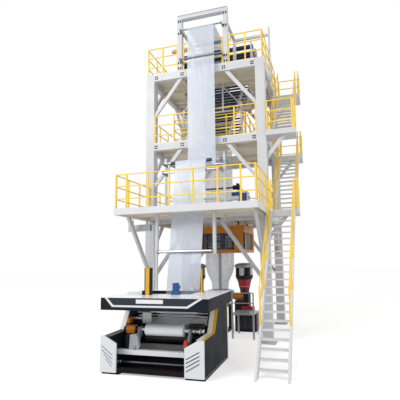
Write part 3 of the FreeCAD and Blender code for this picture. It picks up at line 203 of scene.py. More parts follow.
# Primed castings are matt and slightly pitted
CAST_GREY = Finish("cast_iron_primed_grey", "#8B9096", "#757A80", 0.55, grain_mm=5.0, grain_depth_mm=0.2)
# Vulcanised cover, which takes almost no light
RUBBER = Finish("black_rubber", "#1B1B1D", "#141416", 0.62)
# Zinc crystals a few centimetres across vary the sheet's sheen
PALE_STEEL = Finish("galvanised_sheet", "#C9CDD0", "#B4B9BD", 0.38, metallic=0.55, patch_mm=60)
# The front platform's edge strip: the tower's grey coating, painted paler than the columns where it faces the
# light
FASCIA_GREY_LIT = Finish("powder_coated_strip_grey_painted_light", "#E4E5E8", "#DADBDF", 0.42)
# Inside the winder the frame is a brown-black that swallows most of the light
INNER_BROWN = Finish("brown_black_frame_paint", "#1C1417", "#140E11", 0.65, specular=0.15)
# Hexagon bolts are phosphated, so they read as dark dots
BOLT_DARK = Finish("phosphated_bolt_steel", "#2A2B30", "#1F2024", 0.60)
# Darker grey for the strips along the channel's edges and for the guide strut
EDGE_GREY = Finish("channel_edge_dark_grey", "#A3A6AC", "#92959B", 0.5)
# Faded enamel on the motor, painted paler where the top light washes it out
PEACH_FADED_AND_LIT = Finish("faded_enamel_peach_and_painted_light", "#E9BD93", "#DDAE82", 0.42)
# Primer with a trace of red
BLUSH_GREY = Finish("primer_enamel_blush_grey", "#C6AFAE", "#B59C9B", 0.45)
# Band of the sight glass, painted pale red as the light behind it
SIGHT_RED_BACKLIT = Finish("sight_glass_band_painted_backlight_red", "#F0606A", "#E24A56", 0.25, coat=0.4)
# Same enamel as the funnel, painted darker as the shade under it
FUNNEL_RED_SHADED = Finish("gloss_enamel_red_painted_shade", "#6B1420", "#520E18", 0.30, coat=0.3)
# Spun aluminium with broad soft rings of sheen
DOME_GREY = Finish("spun_aluminium_dome", "#A9ABAF", "#94969A", 0.34, metallic=0.5, patch_mm=250)
# Gloss panels over black, with a blue glint painted into their colour
BASE_PAINTED_GLINT = Finish("gloss_panel_black_painted_blue_glint", "#232A3A", "#1A1F2C", 0.22, coat=0.3)
# Recess behind the chevron and slits of the louvres, painted deep blue as the shade inside them
RECESS_SHADE_BLUE = Finish("recess_painted_shade_deep_blue", "#182634", "#121D29", 0.45)
# Machine beam paint with a hard white gloss
BEAM_WHITE = Finish("machine_beam_white", "#F3F5F7", "#E6E9ED", 0.30, coat=0.2)
# Coated white skin on top of the hood, painted brighter than the other white sheet where it faces the lamps
SKIN_WHITE_LIT = Finish("hood_skin_white_painted_light", "#FFFFFF", "#F6F8FA", 0.30, coat=0.2)
# Left bare where the photo has lettering
PLAQUE_WHITE = Finish("bare_plaque_white", "#F4F5F6", "#ECEDEF", 0.35)
# Painted casting, so its pits are filled and pale
CAST_PALE = Finish("painted_casting_pale_grey", "#B9BCC2", "#A4A8AE", 0.45, grain_mm=5.0, grain_depth_mm=0.1)
# Moulded plastic grip
HANDLE_RED = Finish("plastic_handle_orange_red", "#D8402C", "#C43422", 0.35)


@dataclass(frozen=True)
class FilmFinish:
    """Thin blown film: a milky sheet that lets the steel behind it show faintly."""

    name: str
    colour: str
    shade: str
    body: float
    haze: float
    streak_mm: float = 70.0
    relief: float = 0.10
    hood_shade_cover: float = 1.0
    hood_shade_below_m: float = 1.88
    crest: float = 1.0
    crest_above_m: float = 9.5

    def material(self) -> bpy.types.Material:
        """The Blender material, made once."""
        known = bpy.data.materials.get(self.name)
        if known:
            return known
        made = bpy.data.materials.new(self.name)
        made.use_nodes = True
        tree = made.node_tree
        tree.nodes.clear()
        place = add_node(tree, "ShaderNodeTexCoord")
        drawn = add_node(tree, "ShaderNodeMapping", {
            "Vector": place.outputs["Object"], "Scale": (1.0, 1.0, 0.06)})
        streaks = add_node(tree, "ShaderNodeTexNoise", {
            "Vector": drawn.outputs["Vector"], "Scale": 1 / (self.streak_mm * MM), "Detail": 3.0})
        tint = add_node(tree, "ShaderNodeMix", {}, data_type="RGBA")
        tint.inputs[6].default_value = linear(self.colour)
        tint.inputs[7].default_value = linear(self.shade)
        tree.links.new(streaks.outputs["Fac"], tint.inputs[0])
        thick = add_node(tree, "ShaderNodeMapRange", {
            "Value": streaks.outputs["Fac"], "From Min": 0.3, "From Max": 0.7,
            "To Min": self.body - self.haze, "To Max": self.body + self.haze})
        relief = add_node(tree, "ShaderNodeBump", {
            "Height": streaks.outputs["Fac"], "Strength": self.relief, "Distance": 2 * MM})
        split = add_node(tree, "ShaderNodeSeparateXYZ", {"Vector": place.outputs["Object"]})
        # Below the hood's top the film is made more see-through, as painted shade where it runs into the
        # hood's shade
        low = add_node(tree, "ShaderNodeMapRange", {
            "Value": split.outputs["Z"], "From Min": self.hood_shade_below_m, "From Max": self.hood_shade_below_m + 0.1,
            "To Min": self.hood_shade_cover, "To Max": 1.0})
        high = add_node(tree, "ShaderNodeMapRange", {
            "Value": split.outputs["Z"], "From Min": self.crest_above_m, "From Max": self.crest_above_m + 1.0,
            "To Min": 1.0, "To Max": self.crest})
        height = add_node(tree, "ShaderNodeMath", {
            0: low.outputs[0], 1: high.outputs[0]}, operation="MULTIPLY")
        cover = add_node(tree, "ShaderNodeMath", {
            0: thick.outputs[0], 1: height.outputs[0]}, operation="MULTIPLY")
        shader = add_node(tree, "ShaderNodeBsdfPrincipled", {
            "Base Color": tint.outputs[2], "Roughness": 0.22, "Alpha": cover.outputs[0],
            "Normal": relief.outputs["Normal"]})
        add_node(tree, "ShaderNodeOutputMaterial", {"Surface": shader.outputs["BSDF"]})
        return made


# Flattened film: a milky sheet, thinner to the eye near the top, and made more see-through under the hood as
# painted shade
WEB_FILM = FilmFinish("polyethylene_film_flattened", "#E3EAF5", "#DAE3F0", 0.62, 0.08,
                      hood_shade_cover=0.30, crest=0.78)
# One layer of film, so the steel behind it shows through
BUBBLE_FILM = FilmFinish("polyethylene_film_bubble", "#E6E9F0", "#DDE1EA", 0.30, 0.05,
                         streak_mm=240.0, relief=0.03)
# Thousands of layers wound up, which turn the clear film white
ROLL_WHITE = Finish("wound_polyethylene_film", "#FFFFFF", "#F6F8FC", 0.34, patch_mm=400,
                    stretch=(6, 0.6, 0.6), coat=0.2)


# Meshes


class Axis(Enum):
    """The axis that a profile is drawn out along."""

    X = 0
    Y = 1
    Z = 2


class Shell:
    """Gathers closed shapes into the mesh of one piece."""

    def __init__(self) -> None:
        """Starts empty."""
        self.points: list[Vector] = []
        self.faces: list[list[int]] = []

    def _take(self, points: Iterable[Vector], faces: Iterable[Sequence[int]]) -> None:
        """Adds points and the faces that number them from 0."""
        base = len(self.points)
        self.points += [Vector(p) for p in points]
        self.faces += [[base + n for n in face] for face in faces]

    def block(self, low: Point, high: Point) -> "Shell":
        """Adds a box between two corners."""
        outline = [(low[1], low[2]), (high[1], low[2]), (high[1], high[2]), (low[1], high[2])]
        return self.prism(Axis.X, outline, low[0], high[0])

    def box(self, x: Flat, y: Flat, z: Flat) -> "Shell":
        """Adds a box given by its spans in millimetres."""
        return self.block((x[0] * MM, y[0] * MM, z[0] * MM), (x[1] * MM, y[1] * MM, z[1] * MM))

    def plate(self, axis: Axis, outline: Sequence[Flat], span: Flat) -> "Shell":
        """Adds an outline drawn out along an axis, all in millimetres."""
        return self.prism(axis, [(a * MM, b * MM) for a, b in outline], span[0] * MM, span[1] * MM)

    def drum(self, axis: Axis, place: Flat, span: Flat, radius: float, sides: int = 32,
             rim: float = 4.0) -> "Shell":
        """Adds a round bar with chamfered rims, in millimetres; place is on the two other axes."""
        centre = self._lift(axis, 0.0, (place[0] * MM, place[1] * MM))
        low, high, r, c = span[0] * MM, span[1] * MM, radius * MM, rim * MM
        outline = [(low, r - c), (low + c, r), (high - c, r), (high, r - c)]
        return self.turned(axis, tuple(centre), outline, sides)

    def prism(self, axis: Axis, outline: Sequence[Flat], start: float, end: float) -> "Shell":
        """Adds an outline drawn out along an axis.

        Args:
            axis: the direction of the draw.
            outline: points on the two other axes, in X, Y, Z order.
            start: where the draw starts.
            end: where it ends.

        Returns:
            This shell.
        """
        count = len(outline)
        rings = [[self._lift(axis, at, flat) for flat in outline] for at in (start, end)]
        faces: list[Sequence[int]] = [list(range(count)), list(range(2 * count - 1, count - 1, -1))]
        faces += [[n, (n + 1) % count, count + (n + 1) % count, count + n] for n in range(count)]
        self._take(rings[0] + rings[1], faces)
        return self

    @staticmethod
    def _lift(axis: Axis, at: float, flat: Flat) -> Vector:
        """A point from its place along an axis and its two other coordinates."""
        values = list(flat)
        values.insert(axis.value, at)
        return Vector(values)

    def turned(self, axis: Axis, centre: Point, outline: Sequence[Flat], sides: int = 32) -> "Shell":
        """Adds a body of revolution.

        Args:
            axis: the direction of its axis.
            centre: a point on the axis, from which the outline counts.
            outline: (along, radius) points from one pole to the other, or a closed ring profile.
            sides: flats round the axis.

        Returns:
            This shell.
        """
        points: list[Vector] = []
        others = [n for n in range(3) if n != axis.value]
        for along, radius in outline:
            for k in range(sides):
                turn = 2 * math.pi * k / sides
                point = Vector(centre)
                point[axis.value] += along
                point[others[0]] += radius * math.cos(turn)
                point[others[1]] += radius * math.sin(turn)
                points.append(point)
        faces = []
        rows = len(outline)
        closed = outline[0][1] > 0 and outline[0] != outline[-1] and self._is_ring(outline)
        for row in range(rows if closed else rows - 1):
            for k in range(sides):
                a, b = row * sides, ((row + 1) % rows) * sides
                faces.append([a + k, a + (k + 1) % sides, b + (k + 1) % sides, b + k])
        if not closed:
            faces.append(list(range(sides)))
            faces.append(list(range((rows - 1) * sides, rows * sides)))
        self._take(points, faces)
        return self

    @staticmethod
    def _is_ring(outline: Sequence[Flat]) -> bool:
        """True where the profile runs back beside itself, as a ring's does."""
        return len(outline) > 3 and abs(outline[0][0] - outline[-1][0]) < 1e-9

    def tube_along(self, path: Sequence[Point], radius: float, sides: int = 10) -> "Shell":
        """Adds a round bar along a path, square to it at each point."""
        spots = [Vector(p) for p in path]
        points: list[Vector] = []
        side = None
        for n, spot in enumerate(spots):
            ahead = (spots[min(n + 1, len(spots) - 1)] - spots[max(n - 1, 0)]).normalized()
            if side is None:
                side = ahead.orthogonal().normalized()
            side = (side - ahead * side.dot(ahead)).normalized()
            up = ahead.cross(side)
            for k in range(sides):
                turn = 2 * math.pi * k / sides
                points.append(spot + radius * (side * math.cos(turn) + up * math.sin(turn)))
        faces: list[Sequence[int]] = []
        for n in range(len(spots) - 1):
            a, b = n * sides, (n + 1) * sides
            faces += [[a + k, a + (k + 1) % sides, b + (k + 1) % sides, b + k] for k in range(sides)]
        faces.append(list(range(sides)))
        faces.append(list(range((len(spots) - 1) * sides, len(spots) * sides)))
        self._take(points, faces)
        return self

    def bar(self, start: Point, end: Point, wide: float, deep: float) -> "Shell":
        """Adds a rectangular bar; wide is level and deep is square to it."""
        a, b = Vector(start), Vector(end)
        ahead = (b - a).normalized()
        side = ahead.cross(Vector((0, 0, 1)))
        side = side.normalized() if side.length > 1e-3 else Vector((1, 0, 0))
        up = side.cross(ahead)
        ring = [(-wide, -deep), (wide, -deep), (wide, deep), (-wide, deep)]
        points = [p + side * u / 2 + up * v / 2 for p in (a, b) for u, v in ring]
        faces = [[0, 1, 2, 3], [7, 6, 5, 4]] + [[n, (n + 1) % 4, 4 + (n + 1) % 4, 4 + n] for n in range(4)]
        self._take(points, faces)
        return self

    def object(self, name: str) -> bpy.types.Object:
        """Makes the object, with its faces pointing outwards and its curved faces smooth."""
        mesh = bpy.data.meshes.new(name)
        mesh.from_pydata([tuple(p) for p in self.points], [], self.faces)
        work = bmesh.new()
        work.from_mesh(mesh)
        bmesh.ops.recalc_face_normals(work, faces=work.faces)
        for face in work.faces:
            face.smooth = True
        for edge in work.edges:
            edge.smooth = edge.calc_face_angle(math.pi) < math.radians(32)
        work.to_mesh(mesh)
        work.free()
        made = bpy.data.objects.new(name, mesh)
        bpy.context.scene.collection.objects.link(made)
        return made


def publish(name: str, shell: Shell, finish: Finish | FilmFinish, slot: str, body: str = ROOT,
            replaces: Sequence[str] = (), bevel_mm: float = 0.0) -> bpy.types.Object:
    """Makes one piece of the scene, dresses it and ties it to its body.

    Args:
        name: the piece's name.
        shell: its shape.
        finish: its finish.
        slot: the record's material slot it belongs to.
        body: the body it moves with.
        replaces: CAD nodes it stands for.
        bevel_mm: width of the edge round, or 0.

    Returns:
        The piece.
    """
    piece = shell.object(name)
    piece.data.materials.append(finish.material())
    if bevel_mm:
        edge = piece.modifiers.new("edge_round", "BEVEL")
        edge.width = bevel_mm * MM
        edge.segments = 2
        edge.limit_method = "ANGLE"
        edge.angle_limit = math.radians(40)
    return settle(piece, slot, body, replaces)


def settle(piece: bpy.types.Object, slot: str, body: str, replaces: Sequence[str] = ()) -> bpy.types.Object:
    """Ties a finished piece to its body, and reports it with its slot."""
    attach(piece, body)
    if replaces:
        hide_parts(*replaces)
    log.info("piece %s on %s, finish %s", piece.name, body, slot)
    return piece


# Bolts by Geometry Nodes


@dataclass
class BoltSet:
    """Hexagon bolts with washers, set on points that face along their normals."""

    name: str
    across_mm: float = 46.0
    head_mm: float = 19.0
    washer_mm: float = 5.0

    def build(self, spots: Sequence[tuple[Point, Point]], finish: Finish, slot: str,
              body: str = ROOT) -> None:
        """Makes the bolts.

        Args:
            spots: (place, outward direction) of each bolt.
            finish: the bolts' finish.
            slot: the record's material slot.
            body: the body they move with.
        """
        mesh = bpy.data.meshes.new(self.name)
        mesh.from_pydata([place for place, _ in spots], [], [])
        facing = mesh.attributes.new("facing", "FLOAT_VECTOR", "POINT")
        facing.data.foreach_set("vector", [c for _, way in spots for c in way])
        host = bpy.data.objects.new(self.name, mesh)
        bpy.context.scene.collection.objects.link(host)
        tree = self._tree(finish)
        live = host.modifiers.new("bolts", "NODES")
        live.node_group = tree
        sizes = {"Head Radius": self.across_mm / math.sqrt(3) * MM, "Head Height": self.head_mm * MM,
                 "Washer Height": self.washer_mm * MM}
        for item in tree.interface.items_tree:
            if item.item_type == "SOCKET" and item.in_out == "INPUT" and item.name in sizes:
                live[item.identifier] = sizes[item.name]
        bake_nodes(host)
        settle(host, slot, body)

    def _tree(self, finish: Finish) -> bpy.types.NodeTree:
        """The node tree: a washer and a six-sided head on every point."""
        tree = bpy.data.node_groups.new(self.name + "_tree", "GeometryNodeTree")
        tree.interface.new_socket("Geometry", in_out="INPUT", socket_type="NodeSocketGeometry")
        for label in ("Head Radius", "Head Height", "Washer Height"):
            tree.interface.new_socket(label, in_out="INPUT", socket_type="NodeSocketFloat")
        tree.interface.new_socket("Geometry", in_out="OUTPUT", socket_type="NodeSocketGeometry")
        given = add_node(tree, "NodeGroupInput")
        head = add_node(tree, "GeometryNodeMeshCylinder", {
            "Vertices": 6, "Radius": given.outputs["Head Radius"], "Depth": given.outputs["Head Height"]})
        rise = add_node(tree, "ShaderNodeMath", {
            0: given.outputs["Head Height"], 1: 0.5}, operation="MULTIPLY")
        base = add_node(tree, "ShaderNodeMath", {
            0: rise.outputs[0], 1: given.outputs["Washer Height"]}, operation="ADD")
        lift = add_node(tree, "ShaderNodeCombineXYZ", {"Z": base.outputs[0]})
        raised = add_node(tree, "GeometryNodeTransform", {
            "Geometry": head.outputs["Mesh"], "Translation": lift.outputs[0]})
        wide = add_node(tree, "ShaderNodeMath", {
            0: given.outputs["Head Radius"], 1: 1.35}, operation="MULTIPLY")
        washer = add_node(tree, "GeometryNodeMeshCylinder", {
            "Vertices": 12, "Radius": wide.outputs[0], "Depth": given.outputs["Washer Height"]})
        half = add_node(tree, "ShaderNodeMath", {
            0: given.outputs["Washer Height"], 1: 0.5}, operation="MULTIPLY")
        seat = add_node(tree, "ShaderNodeCombineXYZ", {"Z": half.outputs[0]})
        seated = add_node(tree, "GeometryNodeTransform", {
            "Geometry": washer.outputs["Mesh"], "Translation": seat.outputs[0]})
        bolt = add_node(tree, "GeometryNodeJoinGeometry")
        tree.links.new(raised.outputs["Geometry"], bolt.inputs[0])
        tree.links.new(seated.outputs["Geometry"], bolt.inputs[0])
        facing = add_node(tree, "GeometryNodeInputNamedAttribute", {"Name": "facing"},
                          data_type="FLOAT_VECTOR")
        turn = add_node(tree, "FunctionNodeAlignRotationToVector", {"Vector": facing.outputs[0]}, axis="Z")
        placed = add_node(tree, "GeometryNodeInstanceOnPoints", {
            "Points": given.outputs["Geometry"], "Instance": bolt.outputs[0], "Rotation": turn.outputs[0]})
        real = add_node(tree, "GeometryNodeRealizeInstances", {"Geometry": placed.outputs[0]})
        dressed = add_node(tree, "GeometryNodeSetMaterial", {
            "Geometry": real.outputs[0], "Material": finish.material()})
        add_node(tree, "NodeGroupOutput", {0: dressed.outputs[0]})
        return tree


@dataclass
class RibSet:
    """Thin ribs set on points; each stands on the point that is its middle."""

    name: str
    size_mm: Point = (6.0, 100.0, 20.0)

    def build(self, spots: Sequence[Point], finish: Finish, slot: str, body: str = ROOT) -> None:
        """Makes the ribs.

        Args:
            spots: the middle of each rib, in metres.
            finish: the ribs' finish.
            slot: the record's material slot.
            body: the body they move with.
        """
        mesh = bpy.data.meshes.new(self.name)
        mesh.from_pydata(list(spots), [], [])
        host = bpy.data.objects.new(self.name, mesh)
        bpy.context.scene.collection.objects.link(host)
        tree = bpy.data.node_groups.new(self.name + "_tree", "GeometryNodeTree")
        tree.interface.new_socket("Geometry", in_out="INPUT", socket_type="NodeSocketGeometry")
        tree.interface.new_socket("Rib Size", in_out="INPUT", socket_type="NodeSocketVector")
        tree.interface.new_socket("Geometry", in_out="OUTPUT", socket_type="NodeSocketGeometry")
        given = add_node(tree, "NodeGroupInput")
        rib = add_node(tree, "GeometryNodeMeshCube", {"Size": given.outputs["Rib Size"]})
        placed = add_node(tree, "GeometryNodeInstanceOnPoints", {
            "Points": given.outputs["Geometry"], "Instance": rib.outputs["Mesh"]})
        real = add_node(tree, "GeometryNodeRealizeInstances", {"Geometry": placed.outputs[0]})
        dressed = add_node(tree, "GeometryNodeSetMaterial", {
            "Geometry": real.outputs[0], "Material": finish.material()})
        add_node(tree, "NodeGroupOutput", {0: dressed.outputs[0]})
        live = host.modifiers.new("ribs", "NODES")
        live.node_group = tree
        for item in tree.interface.items_tree:
            if item.item_type == "SOCKET" and item.in_out == "INPUT" and item.name == "Rib Size":
                live[item.identifier] = [n * MM for n in self.size_mm]
        bake_nodes(host)
        settle(host, slot, body)


def bake_nodes(host: bpy.types.Object) -> None:
    """Turns a Geometry Nodes result into the object's own plain mesh and drops the modifier."""
    bpy.context.view_layer.update()
    depsgraph = bpy.context.evaluated_depsgraph_get()
    seen = host.evaluated_get(depsgraph)
    result = bpy.data.meshes.new_from_object(seen, preserve_all_data_layers=True, depsgraph=depsgraph)
    host.modifiers.clear()
    old = host.data
    result.name = host.name
    host.data = result
    bpy.data.meshes.remove(old)


# CAD nodes that keep their own shape

NODE_FINISH: dict[str, Finish | FilmFinish] = {
    "column_feet": TOWER_GREY, "tower_columns": TOWER_GREY, "main_beams": TOWER_GREY,
    "floor_joists": DECK_GREY, "floor_plates": DECK_GREY, "apron_frame": DECK_GREY, "apron_floor": DECK_GREY,
    "apron_fascia": FASCIA_GREY_LIT, "knee_braces": TOWER_GREY, "gantry_frame": TOWER_GREY,
    "guide_stand": TOWER_GREY, "roller_hangers": TOWER_GREY, "stair_landings": TOWER_GREY,
    "stair_1": STAIR_WHITE, "stair_2": STAIR_WHITE, "stair_3": STAIR_WHITE,
    "apron_guard_rail": RAIL_YELLOW, "deck_guard_rails": RAIL_YELLOW, "stair_hand_rails": RAIL_YELLOW,
    "service_stand": PALE_STEEL, "gantry_top_roller": LINE_STEEL, "gantry_low_roller": LINE_STEEL,
    "upper_guide_roller": ROLLER_BLUE, "tension_roller": CHROME, "turning_roller": CHROME,
    "lower_guide_roller": CHROME, "roller_arms": CAST_GREY, "film_web": WEB_FILM, "film_bubble": BUBBLE_FILM,
    "collapsing_rails": PALE_STEEL, "collapsing_slats": SLAT_NAVY, "collapser_carrier": TOWER_GREY,
    "haul_off_plates": TOWER_GREY, "sizing_cage": BASKET_PALE, "cage_frames": MOTOR_ORANGE,
    "cage_screws": MACHINE_BLACK, "die_stand": MACHINE_BLACK, "die": STEEL, "air_ring": PALE_STEEL,
    "bubble_air_pipe": CAST_GREY, "extruder_bases": MACHINE_BLACK, "extruder_barrels": MOTOR_ORANGE,
    "extruder_drives": MACHINE_BLACK, "extruder_motors": SIGNAL_RED, "bubble_guide": MACHINE_BLACK,
    "winder_cheeks": CABINET_NAVY, "winder_base": INNER_BROWN, "winder_hood": CABINET_NAVY,
    "winder_covers": CABINET_WHITE, "winder_cross_beams": BEAM_WHITE, "roll_carriers": CAST_GREY,
    "wound_roll": ROLL_WHITE, "drum_bearings": MOTOR_ORANGE, "contact_drum": RUBBER, "winder_idlers": CHROME,
    "winder_drives": MOTOR_ORANGE, "hood_equipment": TRIM_GOLD,
}


def dress_nodes() -> None:
    """Gives every CAD node its finish."""
    for name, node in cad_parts.items():
        node.data.materials.clear()
        node.data.materials.append(NODE_FINISH.get(name, TOWER_GREY).material())
        log.info("node %s dressed", name)


# Sub-assemblies that the scene dresses, all sizes in millimetres


@dataclass
class Tower:
    """Bolts, anchors, duct and pipe of the steel tower."""

    half_d: float = 1950.0
    in_x: float = 2015.0
    levels: tuple[float, ...] = (4450.0, 7290.0, 10110.0)
    deck_t: float = 40.0
    beam_h: float = 260.0
    foot_t: float = 30.0
    anchor_half: float = 225.0
    column_mid: Flat = (2180.0, 1785.0)

    def build(self) -> None:
        """Makes all of it."""
        self._beam_bolts()
        self._anchors()
        self._services()

    def _beam_bolts(self) -> None:
        """Bolt groups on the front and rear beams, beside each column and over each brace."""
        spots = []
        for n, top in enumerate(self.levels):
            mid = top - self.deck_t - self.beam_h / 2
            run = 1480.0 if n == 0 else 1180.0
            for sx in (-1, 1):
                for sy in (-1, 1):
                    for x in (self.in_x - 60, self.in_x - 130, self.in_x - run + 40, self.in_x - run - 40):
                        for dz in (-40, 40):
                            place = (sx * x * MM, sy * self.half_d * MM, (mid + dz) * MM)
                            spots.append((place, (0.0, float(sy), 0.0)))
        BoltSet("beam_bolts", 36.0).build(spots, BOLT_DARK, "black_paint")

    def _anchors(self) -> None:
        """Floor anchors with their nuts."""
        spots = []
        a = self.anchor_half
        for sx in (-1, 1):
            for sy in (-1, 1):
                for dx in (-a, a):
                    for dy in (-a, a):
                        place = ((sx * self.column_mid[0] + dx) * MM, (sy * self.column_mid[1] + dy) * MM,
                                 self.foot_t * MM)
                        spots.append((place, (0.0, 0.0, 1.0)))
        BoltSet("floor_anchors", 46.0, 24.0).build(spots, STEEL, "machined_steel")

    def _services(self) -> None:
        """Cable duct under the front platform and the pale pipe beside the left column."""
        duct = Shell().box((-2440, -1600), (-3020, -2880), (3810, 4040))
        for x in (-2300, -1750):
            duct.box((x - 20, x + 20), (-2970, -2930), (4040, 4250))
        publish("cable_duct", duct, PALE_STEEL, "light_grey_paint", bevel_mm=4)
        pipe = Shell().drum(Axis.Z, (-1882, -2150), (1630, 4110), 68, 24)
        for z in (2000, 3700):
            pipe.box((-2080, -1882), (-2165, -2135), (z - 20, z + 20))
            pipe.box((-2110, -2080), (-2165, -1950), (z - 30, z + 30))
        publish("riser_pipe", pipe, CABINET_WHITE, "white_paint")


@dataclass
class Gantry:
    """Channel edges and bolts of the film portal on the top level."""

    x: float = 925.0
    half: float = 90.0
    front: float = -1970.0
    top: float = 12380.0

    def build(self) -> None:
        """Makes the dark edge of the channel and the bolts."""
        reach = self.x + self.half
        edge = Shell().box((-reach, reach), (self.front - 4, self.front), (self.top - 34, self.top))
        edge.box((-reach, reach), (self.front - 4, self.front), (self.top - 180, self.top - 168))
        publish("gantry_channel_edges", edge, EDGE_GREY, "light_grey_paint")
        spots = []
        for sx in (-1, 1):
            for z in (12150, 12105, 11640, 11600, 10420, 10380, 10200, 10160):
                for dx in (-45, 45):
                    spots.append((((sx * self.x + dx) * MM, self.front * MM, z * MM), (0.0, -1.0, 0.0)))
        BoltSet("gantry_bolts", 36.0, 15.0).build(spots, BOLT_DARK, "black_paint")


@dataclass
class HaulOff:
    """Rollers, bearings and motors above the top level."""

    half_l: float = 1550.0
    plate: Flat = (1580.0, 1640.0)
    nip_r: float = 95.0
    nip_y: float = 97.3
    nip_z: float = 11445.0
    guide: tuple[float, float, float] = (-300.0, 11600.0, 90.0)
    idler: tuple[float, float, float] = (-1000.0, 11612.6, 60.0)

    def build(self) -> None:
        """Makes the rollers, their bearings and the motors."""
        ends = (-self.half_l, self.half_l)
        dark = Shell()
        for s in (-1, 1):
            dark.drum(Axis.X, (s * self.nip_y, self.nip_z), ends, self.nip_r, 40, 8)
        y, z, r = self.guide
        dark.drum(Axis.X, (y, z), ends, r, 40, 8)
        publish("nip_and_guide_rollers", dark, SLAT_NAVY, "slat_navy", replaces=["haul_off_rollers"])
        y, z, r = self.idler
        idler = Shell().drum(Axis.X, (y, z), (-620, 620), r, 40, 8)
        publish("blue_idler_roller", idler, ROLLER_BLUE, "roller_blue")
        steel = Shell()
        for s in (-1, 1):
            for y, z in ((-self.nip_y, self.nip_z), (self.nip_y, self.nip_z), self.guide[:2]):
                steel.drum(Axis.X, (y, z), tuple(sorted((s * self.half_l, s * self.plate[1]))), 29)
            steel.drum(Axis.X, self.idler[:2], tuple(sorted((s * 620, s * 895))), 15)
        publish("haul_off_journals", steel, STEEL, "machined_steel")
        flanges = Shell()
        for s in (-1, 1):
            a, b = sorted((s * self.plate[1], s * (self.plate[1] + 45)))
            for y, z in ((-self.nip_y, self.nip_z), (self.nip_y, self.nip_z), self.guide[:2]):
                flanges.drum(Axis.X, (y, z), (a, b), 84, 24, 8)
        publish("haul_off_bearings", flanges, CAST_GREY, "light_grey_paint")
        gear = Shell().box((1690, 1770), (-180, 180), (11290, 11560))
        gear.drum(Axis.X, (0, 11425), (1640, 1690), 40)
        publish("nip_gear_case", gear, BLUSH_GREY, "red_paint", bevel_mm=14)
        self._motors()

    @staticmethod
    def _motors() -> None:
        """The web guide's motor and the collapsing frame's adjusting motor."""
        peach = Shell().drum(Axis.X, (-470, 11880), (-1860, -1220), 70, 32, 6)
        peach.drum(Axis.X, (-470, 11880), (-1905, -1860), 75, 32, 10)
        peach.drum(Axis.X, (-470, 11880), (-1240, -1200), 90, 32, 6)
        peach.drum(Axis.X, (-470, 11880), (-1200, -975), 40, 20, 3)
        publish("web_guide_motor", peach, PEACH_FADED_AND_LIT, "orange_paint", replaces=["haul_off_motors"])
        blush = Shell().drum(Axis.X, (-800, 8700), (1270, 1600), 116, 36, 8)
        blush.drum(Axis.X, (-800, 8700), (1600, 1642), 125, 36, 14)
        blush.drum(Axis.X, (-800, 8700), (1270, 1300), 125, 36, 6)
        publish("adjusting_motor", blush, BLUSH_GREY, "light_grey_paint")
        fins = []
        for k in range(14):
            fins.append((( -1830 + 42 * k) * MM, -0.470, 11.880))
        RibSet("web_guide_motor_fins", (6.0, 148.0, 148.0)).build(fins, PEACH_FADED_AND_LIT, "orange_paint")


@dataclass
class Collapser:
    """End caps of the slats in the slatted panels."""

    low: tuple[float, float, float] = (720.0, 700.0, 7800.0)
    top: tuple[float, float, float] = (1505.0, 265.0, 10600.0)
    slats: int = 22

    def build(self) -> None:
        """Makes the bright end caps of the slats."""
        caps = Shell()
        for s in (-1, 1):
            for n in range(self.slats):
                k = (n + 0.5) / self.slats
                x, y, z = (a + (b - a) * k for a, b in zip(self.low, self.top))
                for sx in (-1, 1):
                    inner = x - 112
                    a, b = sorted((sx * inner, sx * (inner - 14)))
                    caps.drum(Axis.X, (s * y, z), (a, b), 38, 16, 3)
        publish("slat_end_caps", caps, STEEL, "machined_steel")


@dataclass
class BubbleGuide:
    """Guide bar, its motor, post and cabinet on level 1."""

    y: float = -700.0
    z: float = 5578.0
    deck: float = 4450.0

    def build(self) -> None:
        """Makes the pieces."""
        bar = Shell().drum(Axis.X, (self.y, self.z), (-332, 787), 32, 20, 4)
        publish("guide_bar", bar, SLAT_NAVY, "slat_navy", replaces=["bubble_guide"])
        motor = Shell().drum(Axis.X, (self.y, self.z), (790, 1080), 92, 32, 8)
        motor.drum(Axis.X, (self.y, self.z), (1080, 1110), 100, 32, 10)
        motor.box((930, 1040), (self.y - 50, self.y + 50), (self.z + 70, self.z + 150))
        publish("guide_motor", motor, MACHINE_BLACK, "black_paint")
        post = Shell().box((960, 1040), (-740, -660), (self.deck, self.z - 80))
        post.box((900, 1100), (-800, -600), (self.deck, self.deck + 12))
        publish("guide_post", post, CAST_GREY, "light_grey_paint")
        strut = Shell().bar((1.10, -0.70, 5.50), (1.44, -0.70, 5.12), 0.07, 0.09)
        publish("guide_strut", strut, EDGE_GREY, "light_grey_paint")
        case = Shell().box((1116, 1416), (-1000, -560), (self.deck, 5362))
        publish("guide_cabinet", case, CABINET_WHITE, "white_paint", bevel_mm=10)
        door = Shell().box((1140, 1392), (-1006, -1000), (4520, 5290))
        publish("guide_cabinet_door", door, MOTOR_BLUE, "roller_blue", bevel_mm=3)
        unit = Shell().box((800, 1110), (-1010, -790), (5190, 5340))
        unit.box((820, 860), (-930, -890), (5180, 5190))
        publish("guide_blower", unit, MOTOR_BLUE, "roller_blue", bevel_mm=10)
        trough = Shell().box((650, 1100), (-1080, -820), (5040, 5180))
        trough.box((690, 730), (-970, -930), (self.deck, 5040))
        trough.box((1020, 1060), (-970, -930), (self.deck, 5040))
        publish("guide_trough", trough, CABINET_WHITE, "white_paint", bevel_mm=6)
        tube = Shell().drum(Axis.X, (self.y, 5150), (-1635, -700), 34, 20)
        for x in (-1560, -760):
            tube.box((x - 20, x + 20), (self.y - 20, self.y + 20), (self.deck, 5150))
        publish("spare_air_tube", tube, CABINET_WHITE, "white_paint")


